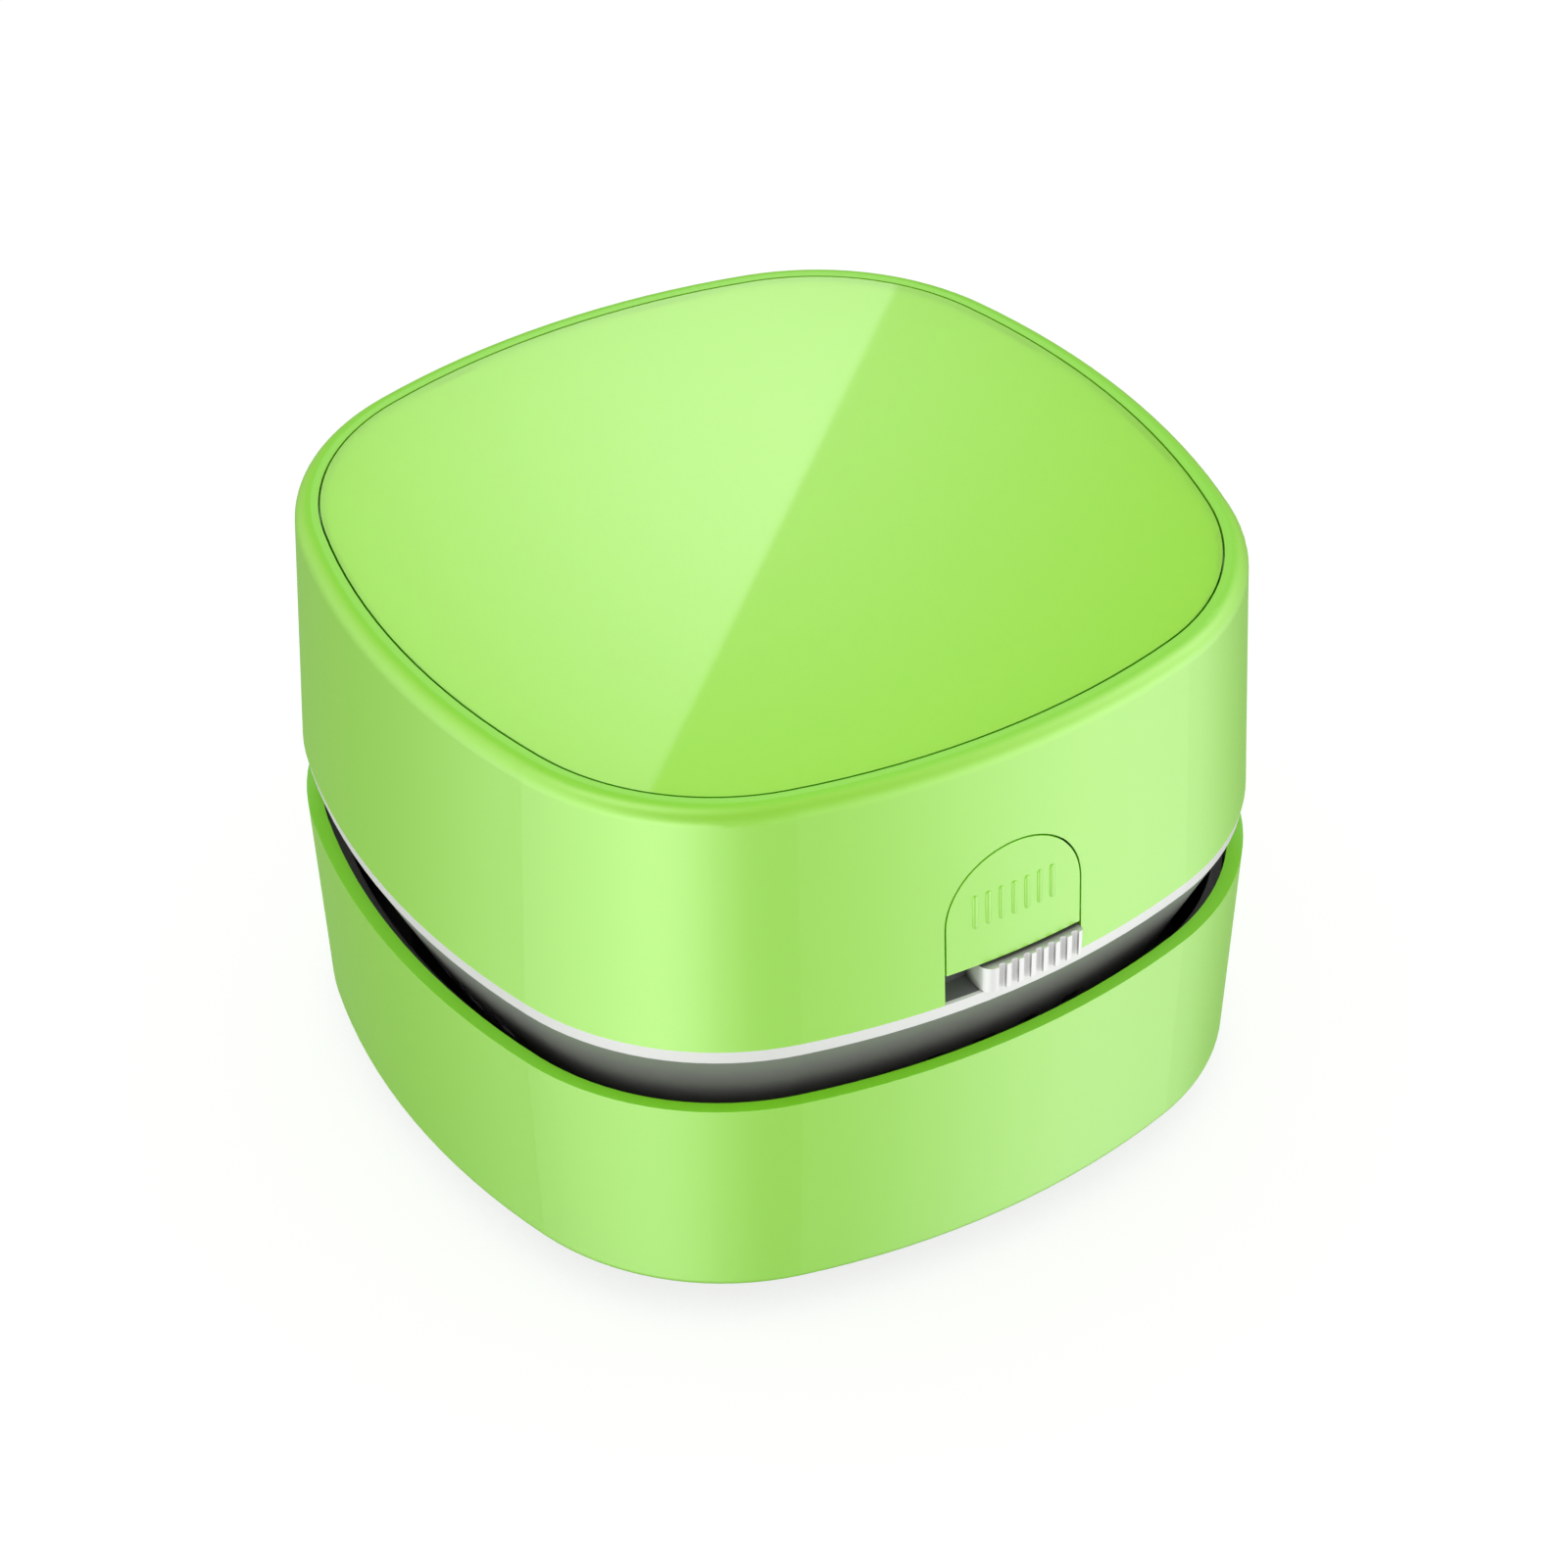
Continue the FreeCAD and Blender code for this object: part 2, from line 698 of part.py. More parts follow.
def windings():
    """Copper coil wound round each pole of the rotor."""
    bottom = motor_front + armature_lift
    top = bottom + armature_length
    half = pole_width / 2
    radial = (commutator_radius + winding_gap, armature_radius)
    outer = block(radial, (-half - winding_thickness, half + winding_thickness),
                  (bottom - winding_thickness, top + winding_thickness))
    outer = outer.makeFillet(winding_thickness / 2, outer.Edges)
    winding = outer.cut(block(radial, (-half, half), (bottom, top)))
    winding = winding.common(rod(armature_radius - pole_lip - winding_gap, bottom - over, top + over))
    return Part.makeCompound([turned(winding, 120 * pole) for pole in range(3)])


# ---------------------------------------------------------------- frame plate and what it carries

def frame_plate():
    """White plate whose edge shows as a ring, with rims, motor socket, snap arms and button guide."""
    plate = stack((frame_edge_draft, frame_bottom), (0, frame_top))
    rim = wall(cover_wall + slip, locating_rim, frame_top, frame_top + rim_height)
    gap = block((-notch_half_width - over, notch_half_width + over), (front, front / 2),
                (frame_top, cover_top))
    lip_inset = bowl_inset(frame_bottom - lip_height) + bowl_wall + snug
    lip = wall(lip_inset, lip_wall, frame_bottom - lip_height, frame_bottom)
    socket = motor_profile(snug + socket_wall, socket_bottom, socket_bottom + socket_height)
    arm_inner = motor_flat + snug
    arm_outer = arm_inner + socket_wall
    arm = block((arm_inner, arm_outer), (-arm_width / 2, arm_width / 2),
                (frame_top, motor_top + nose_height))
    nose = block((arm_inner - arm_nose, arm_outer), (-arm_width / 2, arm_width / 2),
                 (motor_top, motor_top + nose_height))
    pieces = [rim.cut(gap), lip, socket, arm, nose, mirrored(arm), mirrored(nose), button_guide()]
    plate = plate.fuse(pieces)
    cuts = [motor_profile(snug, motor_front, motor_top), switch_rebate(frame_top),
            rod(motor_boss_radius + snug, socket_bottom - over, motor_front + over)]
    cuts += [rod(screw_radius + screw_clearance, frame_bottom - over, frame_top + over, x, y)
             for x, y in boss_places()]
    cuts += [boss_room(x, y) for x, y in boss_places()]
    return plate.cut(cuts).removeSplitter()


def boss_room(x, y):
    """Room for a bowl boss where the locating lip passes it."""
    return rod(boss_radius + snug, frame_bottom - lip_height - over, frame_bottom, x, y)


def button_guide():
    """Two cheeks and a back wall that guide the push button, with a pin for its spring."""
    inner = stem_half_width + slip
    outer = inner + guide_wall
    levels = (frame_top, frame_top + guide_height)
    cheek = block((inner, outer), (guide_front, guide_back), levels)
    track = block((0, outer + over),
                  (button_inner + peg_from_plate - button_gap,
                   button_inner + peg_from_plate + peg_size + button_travel + slip),
                  (spring_level - peg_size / 2 - slip, spring_level + peg_size / 2 + slip))
    cheek = cheek.cut(track)
    back = block((-outer, outer), (guide_back - guide_wall, guide_back), levels)
    back = back.cut(block((-lead_hole_half_width, lead_hole_half_width),
                          (guide_back - guide_wall - over, guide_back + over),
                          (frame_top - over, frame_top + lead_hole_height)))
    pin = rod_y(button_spring_radius - button_spring_wire - snug,
                guide_back - guide_wall - spring_pocket, guide_back - guide_wall / 2, 0, spring_level)
    return back.fuse([cheek, mirrored(cheek), pin])


def switch_rebate(top):
    """Room of the switch tray, behind the front edge of the frame plate."""
    levels = (frame_top - switch_tray_floor, top)
    back = front + knob_depth + knob_back_gap + switch_tray_back
    return slab(switch_lip, *levels).common(block((-knob_right, knob_right), (front, back), levels))


def frame_screws():
    """Four screws through tray and frame plate into the bowl's bosses."""
    head_top = frame_top + tray_floor
    length = head_top - screw_head - frame_bottom + frame_screw_length - over
    return Part.makeCompound([screw(head_top, length, x, y, -1) for x, y in boss_places()])


def battery_tray():
    """Black tray with two cradles for the cells and the end walls that hold the contacts."""
    half = cell_bay_radius + tray_wall
    high_end = tray_back + tray_end_wall
    cradle = block((cell_spread - half, cell_spread + half), (tray_low_end, high_end),
                   (frame_top, cell_axis))
    end_levels = (frame_top, frame_top + tray_end_height)
    front_end = block((cell_spread - half, cell_spread + half), (tray_low_end, tray_front), end_levels)
    back_end = block((-cell_spread - half, cell_spread + half), (tray_back, high_end), end_levels)
    bridge = block((-cell_spread, cell_spread), (high_end - tray_bridge, high_end),
                   (frame_top, frame_top + tray_floor))
    bay = rod_y(cell_bay_radius, tray_front, tray_back, cell_spread, cell_axis)
    tray = cradle.fuse([mirrored(cradle), front_end, mirrored(front_end), back_end, bridge])
    cuts = [bay, mirrored(bay)]
    for x, y in boss_places():
        cuts.append(rod(screw_radius + screw_clearance, frame_top - over, cell_axis, x, y))
        cuts.append(rod(screw_head_radius + snug, frame_top + tray_floor - screw_head, cell_axis, x, y))
    return tray.cut(cuts).removeSplitter()


def lead_red():
    """Lead from the right front contact along the floor and up to the motor's back terminal."""
    side = terminal_spread + terminal_thickness + lead_radius
    return lead(*contact_end(cell_spread), (lead_side, lead_front, lead_floor),
                (lead_side, side, lead_floor), (lead_side, side, solder_level),
                (-terminal_width / 2, side, solder_level))


def lead_black():
    """Leads from the left front contact to the switch, and from the switch to the motor."""
    switch_back = switch_body_back() + switch_depth
    to_switch = lead(*contact_end(-cell_spread), (-lead_spread, lead_front, lead_floor),
                     (-lead_spread, switch_back, lead_floor))
    drop = -motor_radius - snug - socket_wall - 2 * lead_radius
    to_motor = lead((lead_spread, switch_back, lead_floor), (lead_spread, drop, lead_floor),
                    (lead_spread, drop, solder_level),
                    (lead_spread, -terminal_spread - terminal_thickness, solder_level))
    return Part.makeCompound([to_switch, to_motor])


def contact_end(cell_place):
    """The end of a lead: off a front contact, over the tray's end wall and down to the floor."""
    level = frame_top + tray_end_height + lead_radius
    inset = math.copysign(contact_width / 2 - 2 * lead_radius, cell_place)
    place = cell_place - inset
    return (place, tray_front, level), (place, lead_front, level), (place, lead_front, lead_floor)


def battery_cell(side):
    """AA cell: the right one (side 1) points its nub to the front, the left one (-1) to the back."""
    body = rod_y(cell_radius, 0, cell_length - cell_nub, 0, 0)
    cell = body.fuse(rod_y(cell_nub_radius, cell_length - cell_nub, cell_length, 0, 0))
    if side > 0:
        cell.rotate(Vector(0, 0, 0), Vector(0, 0, 1), 180)
        nub_end = tray_front + contact_thickness
        cell.translate(Vector(cell_spread, nub_end + cell_length, cell_axis))
    else:
        cell.translate(Vector(-cell_spread, tray_back - contact_thickness - cell_length, cell_axis))
    return cell


def contact_plates():
    """Spring-steel plates: one at each front end and one that joins both cells at the back."""
    levels = (cell_axis - contact_height / 2, cell_axis + contact_height / 2)
    half = contact_width / 2
    width = (cell_spread - half, cell_spread + half)
    back_depth = (tray_back - contact_thickness, tray_back)
    right = block(width, (tray_front, tray_front + contact_thickness), levels)
    pad = block(width, back_depth, levels)
    strap = block((-cell_spread - half, cell_spread + half), back_depth,
                  (cell_axis, frame_top + tray_end_height))
    joined = strap.fuse([pad, mirrored(pad)]).removeSplitter()
    return Part.makeCompound([right, mirrored(right), joined])


def contact_springs():
    """Cone springs at the flat ends of the cells."""
    front_spring = coil(spring_radius, spring_tip_radius, spring_wire, spring_space, spring_turns)
    back_spring = front_spring.copy()
    back_spring.rotate(Vector(0, 0, 0), Vector(0, 0, 1), 180)
    front_spring.translate(Vector(-cell_spread, tray_front + contact_thickness, cell_axis))
    back_spring.translate(Vector(cell_spread, tray_back - contact_thickness, cell_axis))
    return Part.makeCompound([front_spring, back_spring])


# ---------------------------------------------------------------- switch and push button

def knob_stem_range():
    """Where the knob's stem lies along X in the switched-on place."""
    middle = (knob_left + knob_right) / 2
    return middle - knob_stem_width / 2, middle + knob_stem_width / 2


def switch_tray():
    """Dark bed for the knob, with a back wall that its stem passes through."""
    back = front + knob_depth + knob_back_gap
    tray = switch_rebate(button_bottom - button_gap)
    tray = tray.cut(block((-half_width, half_width), (front - over, back), (frame_top, cover_top)))
    low, high = knob_stem_range()
    stem_bottom_level = knob_bottom + (knob_top - knob_bottom - knob_stem_height) / 2
    slot = block((low - knob_travel - button_gap, high + button_gap), (back - over, back + 2 * over),
                 (stem_bottom_level - button_gap, stem_bottom_level + knob_stem_height + button_gap))
    return tray.cut(slot)


def switch_body_back():
    """Place along Y of the switch body's front face."""
    return front + knob_depth + knob_back_gap + switch_tray_back + switch_gap


def switch_body():
    """Small slide switch behind the tray."""
    start = switch_body_back()
    middle = (knob_left + knob_right - knob_travel) / 2
    body = block((middle - switch_length / 2, middle + switch_length / 2), (start, start + switch_depth),
                 (frame_top, frame_top + switch_height))
    low, high = knob_stem_range()
    slot = block((low - knob_travel - button_gap, high + button_gap),
                 (start - over, start + switch_depth / 2), (knob_bottom, knob_top))
    return body.cut(slot)


def switch_knob():
    """White knob with upright grooves, its stem reaching back through the tray."""
    knob = slab(-knob_proud, knob_bottom, knob_top).common(
        block((knob_left, knob_right), (front - over, front + knob_depth), (knob_bottom, knob_top)))
    for side, size in ((-1, knob_corner), (1, knob_end_round)):
        knob = knob.makeFillet(size, [edge for edge in knob.Edges if edge.BoundBox.ZLength > over
                                      and edge.BoundBox.YMax < front + over
                                      and edge.BoundBox.XMin * side > 0])
    last = knob_right - groove_margin
    grooves = []
    for count in range(groove_count):
        place = last - groove_pitch * count
        face = half_width + knob_proud - side_radius + math.sqrt(side_radius ** 2 - place ** 2)
        grooves.append(rod(groove_radius, knob_bottom - over, knob_top + over, place, -face))
    knob = knob.cut(grooves)
    middle = (knob_bottom + knob_top) / 2
    stem = block(knob_stem_range(), (front + knob_depth - over, switch_body_back() + lever_size),
                 (middle - knob_stem_height / 2, middle + knob_stem_height / 2))
    return knob.fuse(stem).removeSplitter()


def cover_form():
    """The cover's outer form."""
    form = stack((0, frame_top), (cover_slope * cover_height, cover_top))
    return form.makeFillet(cover_top_round, edges_at(form, cover_top))


def cover_hollow():
    """The cover's inner form."""
    return stack((cover_wall, frame_top),
                 (cover_wall + cover_slope * (roof_underside - frame_top), roof_underside))


def arch(growth, bottom):
    """Prism of the front notch: straight sides and a half-round top."""
    radius = notch_half_width + growth
    depth = (front - over, front + 2 * cover_wall + over)
    crown = rod_y(radius, *depth, 0, notch_axis).common(
        block((-radius, radius), depth, (notch_axis, notch_axis + radius)))
    return crown.fuse(block((-radius, radius), depth, (bottom, notch_axis))).removeSplitter()


def wall_inner_face(level):
    """Place along Y of the cover wall's inner face in the middle of the front."""
    return front + cover_wall + cover_slope * (level - frame_top)


def push_button():
    """Arched button, flush in the cover's wall, with stem, guide pegs, spring pocket and hook."""
    plate = cover_form().common(arch(-button_gap, button_bottom)).cut(cover_hollow())
    stem_low = button_bottom + stem_bottom
    stem_high = stem_low + stem_height
    stem = block((-stem_half_width, stem_half_width), (button_inner - cover_wall / 2, stem_back),
                 (stem_low, stem_high))
    peg_start = button_inner + peg_from_plate
    peg_end = stem_half_width + peg_reach
    pegs = block((-peg_end, peg_end), (peg_start, peg_start + peg_size),
                 (spring_level - peg_size / 2, spring_level + peg_size / 2))
    catch_bottom = notch_axis + notch_half_width + catch_above_arch
    nose_bottom = catch_bottom + catch_height + button_gap
    nose_front = wall_inner_face(catch_bottom) + catch_reach + hook_short
    arm_front = nose_front + hook_thickness
    arm = block((-hook_half_width, hook_half_width), (arm_front, arm_front + hook_thickness),
                (stem_high - over, nose_bottom + hook_thickness))
    nose = block((-hook_half_width, hook_half_width), (nose_front, arm_front + hook_thickness),
                 (nose_bottom, nose_bottom + hook_thickness))
    pocket = rod_y(button_spring_radius + snug, stem_back - spring_pocket, stem_back + over, 0, spring_level)
    return plate.fuse([stem, pegs, arm, nose]).cut(pocket).removeSplitter()


def button_spring():
    """Coil spring between the button's pocket and the guide's back wall."""
    start = stem_back - spring_pocket
    length = guide_back - guide_wall - start
    spring = coil(button_spring_radius, button_spring_radius, button_spring_wire, length, button_spring_turns)
    spring.translate(Vector(0, start, spring_level))
    return spring


# ---------------------------------------------------------------- cover

def cover_shell():
    """Green cover with a pocket under the top plate, the front notch, hold-down ribs and the catch."""
    shell = cover_form().cut(cover_hollow())
    rib = block((cell_spread - rib_thickness / 2, cell_spread + rib_thickness / 2),
                (-rib_length / 2, rib_length / 2),
                (cell_axis + cell_radius + rib_gap, roof_underside + cover_roof / 2))
    catch_bottom = notch_axis + notch_half_width + catch_above_arch
    inner = wall_inner_face(catch_bottom)
    catch = block((-hook_half_width, hook_half_width), (inner - cover_wall / 2, inner + catch_reach),
                  (catch_bottom, catch_bottom + catch_height))
    shell = shell.fuse([rib, mirrored(rib), catch])
    seat = slab(top_plate_inset - top_plate_gap, ledge_level, cover_top + over)
    pocket = slab(top_plate_inset + pocket_ledge, pocket_floor, cover_top + over)
    return shell.cut([seat, pocket, arch(0, frame_top - over)]).removeSplitter()


def top_plate():
    """Clear plate let into the top of the cover, its edge on the ledge round the pocket."""
    return slab(top_plate_inset, ledge_level, cover_top)


nodes = {
    "lower_shell": lower_shell,
    "dust_cup": dust_cup,
    "base_plate": base_plate,
    "brush_ring": brush_ring,
    "bristle_tufts": bristle_tufts,
    "glide_feet": glide_feet,
    "base_screws": base_screws,
    "fan_bowl": fan_bowl,
    "seal_gasket": seal_gasket,
    "filter_frame": filter_frame,
    "filter_mesh": filter_mesh,
    "impeller": impeller,
    "motor_can": motor_can,
    "motor_magnets": motor_magnets,
    "motor_end_cap": motor_end_cap,
    "motor_terminals": motor_terminals,
    "motor_shaft": motor_shaft,
    "armature": armature,
    "windings": windings,
    "frame_plate": frame_plate,
    "frame_screws": frame_screws,
    "battery_tray": battery_tray,
    "battery_cell_left": lambda: battery_cell(-1),
    "battery_cell_right": lambda: battery_cell(1),
    "contact_plates": contact_plates,
    "contact_springs": contact_springs,
    "lead_red": lead_red,
    "lead_black": lead_black,
    "switch_tray": switch_tray,
    "switch_body": switch_body,
    "switch_knob": switch_knob,
    "push_button": push_button,
    "button_spring": button_spring,
    "cover_shell": cover_shell,
    "top_plate": top_plate,
}

os.makedirs("parts", exist_ok=True)
for name, make in nodes.items():
    shape = make()
    shape.exportStep("parts/" + name + ".step")
    print(name, len(shape.Solids), "solids", round(shape.Volume, 1), "mm3")
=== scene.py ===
"""Looks of the desktop mini vacuum cleaner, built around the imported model. Metres, +Z up, front at -Y."""
import math

import bpy
import numpy as np
from mathutils import Matrix, Vector


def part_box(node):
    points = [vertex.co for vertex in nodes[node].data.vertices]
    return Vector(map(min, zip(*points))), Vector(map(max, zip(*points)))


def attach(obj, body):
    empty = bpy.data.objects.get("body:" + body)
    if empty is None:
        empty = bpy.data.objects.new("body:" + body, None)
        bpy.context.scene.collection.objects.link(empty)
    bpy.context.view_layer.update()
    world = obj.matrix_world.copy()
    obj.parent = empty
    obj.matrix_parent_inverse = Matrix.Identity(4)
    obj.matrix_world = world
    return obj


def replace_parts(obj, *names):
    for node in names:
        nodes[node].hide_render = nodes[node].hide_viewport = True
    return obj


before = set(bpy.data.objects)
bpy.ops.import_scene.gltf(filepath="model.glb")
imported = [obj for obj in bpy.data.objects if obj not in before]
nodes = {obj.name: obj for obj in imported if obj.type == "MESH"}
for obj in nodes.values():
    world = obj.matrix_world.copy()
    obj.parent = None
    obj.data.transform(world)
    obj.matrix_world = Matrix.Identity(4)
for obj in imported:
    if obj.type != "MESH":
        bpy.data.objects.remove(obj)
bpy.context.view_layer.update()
mm = 0.001

# ---------------------------------------------------------------- camera
# A long lens from the front left and above, as for a catalogue picture. It looks down at 38 degrees,
# so the lid, the two faces beside the front corner and the open slot show together.
camera_azimuth, camera_elevation, camera_roll = np.radians([-31.6443, 38.1532, -0.6018])
camera_place = Vector((-0.187926, -0.307393, 0.311765))
back = Vector((math.sin(camera_azimuth) * math.cos(camera_elevation),
               -math.cos(camera_azimuth) * math.cos(camera_elevation), math.sin(camera_elevation)))
level_right = Vector((math.cos(camera_azimuth), math.sin(camera_azimuth), 0))
level_up = back.cross(level_right)
right = level_right * math.cos(camera_roll) + level_up * math.sin(camera_roll)
up = back.cross(right)
lens = bpy.data.cameras.new("catalogue_lens")
lens.sensor_width = 36
lens.lens = 106.97
lens.clip_start, lens.clip_end = 0.05, 20
camera = bpy.data.objects.new("camera", lens)
camera.matrix_world = Matrix.Translation(camera_place) @ Matrix((right, up, back)).transposed().to_4x4()
bpy.context.scene.collection.objects.link(camera)
bpy.context.scene.camera = camera
bpy.context.scene.view_settings.view_transform = "Standard"


# ---------------------------------------------------------------- studio
# A white desk under a white sky that is brighter overhead, with two weak lamps. Gloss sees soft boxes at
# the sides, some of them mirrored in the desk, and behind the object a lamp that is cut off by the
# straight edge of a card, which crosses the lid's reflection.
def linear(code):
    """An sRGB hex colour as linear red, green, blue and alpha."""
    parts = np.array([int(code[i:i + 2], 16) for i in (1, 3, 5)]) / 255
    flat = np.where(parts <= 0.04045, parts / 12.92, ((parts + 0.055) / 1.055) ** 2.4)
    return (*flat.tolist(), 1.0)


def add(tree, kind, inputs=None, **settings):
    """Adds a node. Each input is a number, a colour or another node's output, keyed by name or place."""
    node = tree.nodes.new(kind)
    for key, value in settings.items():
        setattr(node, key, value)
    for key, value in (inputs or {}).items():
        if isinstance(value, bpy.types.NodeSocket):
            tree.links.new(value, node.inputs[key])
        else:
            node.inputs[key].default_value = value
    return node


def direction_of(heading, rise):
    """Unit vector from a compass heading on the desk and a rise above it, in degrees."""
    heading, rise = math.radians(heading), math.radians(rise)
    return (math.cos(rise) * math.cos(heading), math.cos(rise) * math.sin(heading), math.sin(rise))


def lobe(tree, vector, towards, power):
    """How squarely a direction meets another: the cosine between them, never below 0, to a power."""
    facing = add(tree, "ShaderNodeVectorMath", {0: vector, 1: towards}, operation="DOT_PRODUCT")
    facing = add(tree, "ShaderNodeMath", {0: facing.outputs["Value"], 1: 0.0}, operation="MAXIMUM")
    return add(tree, "ShaderNodeMath", {0: facing.outputs[0], 1: power}, operation="POWER").outputs[0]


def material(name):
    """A new material and its empty node tree."""
    made = bpy.data.materials.new(name)
    made.use_nodes = True
    made.node_tree.nodes.clear()
    return made, made.node_tree


sky_level, overhead_gain, room_gloss = 0.7, 0.3, 0.3
card_normal, card_blur = (-0.6259, 0.6877, -0.3679), 0.0006
card_lamp_heading, card_lamp_rise, card_lamp_power, card_lamp_level = 56, 36, 200, 1.8
# Each soft box has a heading and a rise in degrees, the power of its lobe, and its level.
soft_boxes = [(-160, -25, 4, 2.6), (-140, -25, 16, 2.2), (-60, -10, 4, 1.6), (-40, -10, 4, 2.2),
              (-40, -50, 16, 0.8), (-180, 15, 4, 1.1), (160, -25, 16, 0.8), (140, 15, 4, 1.1),
              (0, 40, 8, 1.2), (-20, 40, 16, 2.0), (-180, 65, 16, 2.5), (60, 33, 200, 1.6)]
world = bpy.data.worlds.new("studio")
bpy.context.scene.world = world
world.use_nodes = True
sky = world.node_tree
sky.nodes.clear()
direction = add(sky, "ShaderNodeTexCoord").outputs["Generated"]
card_side = add(sky, "ShaderNodeVectorMath", {0: direction, 1: card_normal}, operation="DOT_PRODUCT")
card = add(sky, "ShaderNodeMapRange", {"Value": card_side.outputs["Value"], "From Min": -card_blur,
                                       "From Max": card_blur, "To Min": 0.0, "To Max": card_lamp_level})
card_lamp = lobe(sky, direction, direction_of(card_lamp_heading, card_lamp_rise), card_lamp_power)
mirrored = add(sky, "ShaderNodeMath", {0: card_lamp, 1: card.outputs[0], 2: room_gloss},
               operation="MULTIPLY_ADD")
for box_heading, box_rise, box_power, box_level in soft_boxes:
    box = lobe(sky, direction, direction_of(box_heading, box_rise), box_power)
    mirrored = add(sky, "ShaderNodeMath", {0: box, 1: box_level, 2: mirrored.outputs[0]},
                   operation="MULTIPLY_ADD")
ray = add(sky, "ShaderNodeLightPath")
in_gloss = add(sky, "ShaderNodeMath", {0: ray.outputs["Is Glossy Ray"],
                                       1: ray.outputs["Is Transmission Ray"]}, operation="MAXIMUM")
height = add(sky, "ShaderNodeSeparateXYZ", {"Vector": direction}).outputs["Z"]
dome = add(sky, "ShaderNodeMath", {0: height, 1: overhead_gain, 2: sky_level}, operation="MULTIPLY_ADD")
seen = add(sky, "ShaderNodeMix", {0: in_gloss.outputs[0], 2: dome.outputs[0], 3: mirrored.outputs[0]},
           data_type="FLOAT")
seen = add(sky, "ShaderNodeMix", {0: ray.outputs["Is Camera Ray"], 2: seen.outputs[0], 3: 1.0},
           data_type="FLOAT")
sky_light = add(sky, "ShaderNodeBackground", {"Color": (1, 1, 1, 1), "Strength": seen.outputs[0]})
add(sky, "ShaderNodeOutputWorld", {"Surface": sky_light.outputs[0]})

desk_half, desk_glow = 3.0, 0.77
desk_mesh = bpy.data.meshes.new("desk")
desk_mesh.from_pydata([(-desk_half, -desk_half, 0), (desk_half, -desk_half, 0),
                       (desk_half, desk_half, 0), (-desk_half, desk_half, 0)], [], [(0, 1, 2, 3)])
desk = bpy.data.objects.new("desk", desk_mesh)
bpy.context.scene.collection.objects.link(desk)
desk.visible_glossy = False
desk_white, tree = material("white_desk")
ray = add(tree, "ShaderNodeLightPath")
lit = add(tree, "ShaderNodeBsdfDiffuse", {"Color": linear("#E2E2E2")})
faint = add(tree, "ShaderNodeBsdfDiffuse", {"Color": linear("#949494")})
glow = add(tree, "ShaderNodeEmission", {"Color": (1, 1, 1, 1), "Strength": desk_glow})
shown = add(tree, "ShaderNodeAddShader", {0: faint.outputs[0], 1: glow.outputs[0]})
desk_look = add(tree, "ShaderNodeMixShader", {0: ray.outputs["Is Camera Ray"], 1: lit.outputs[0],
                                              2: shown.outputs[0]})
add(tree, "ShaderNodeOutputMaterial", {"Surface": desk_look.outputs[0]})
desk_mesh.materials.append(desk_white)

lamp_rise, lamp_distance, lamp_size, lamp_watts = 42, 0.8, 0.5, 0.03
lamp_aim = Vector((0, 0, 0.03))
for lamp_name, lamp_heading in (("left_lamp", -165), ("right_lamp", -62)):
    lamp_light = bpy.data.lights.new(lamp_name, "AREA")
    lamp_light.shape = "DISK"
    lamp_light.size = lamp_size
    lamp_light.energy = lamp_watts
    lamp = bpy.data.objects.new(lamp_name, lamp_light)
    bpy.context.scene.collection.objects.link(lamp)
    lamp.location = Vector(direction_of(lamp_heading, lamp_rise)) * lamp_distance
    lamp.rotation_euler = (lamp.location - lamp_aim).to_track_quat("Z", "Y").to_euler()
    lamp.visible_glossy = False


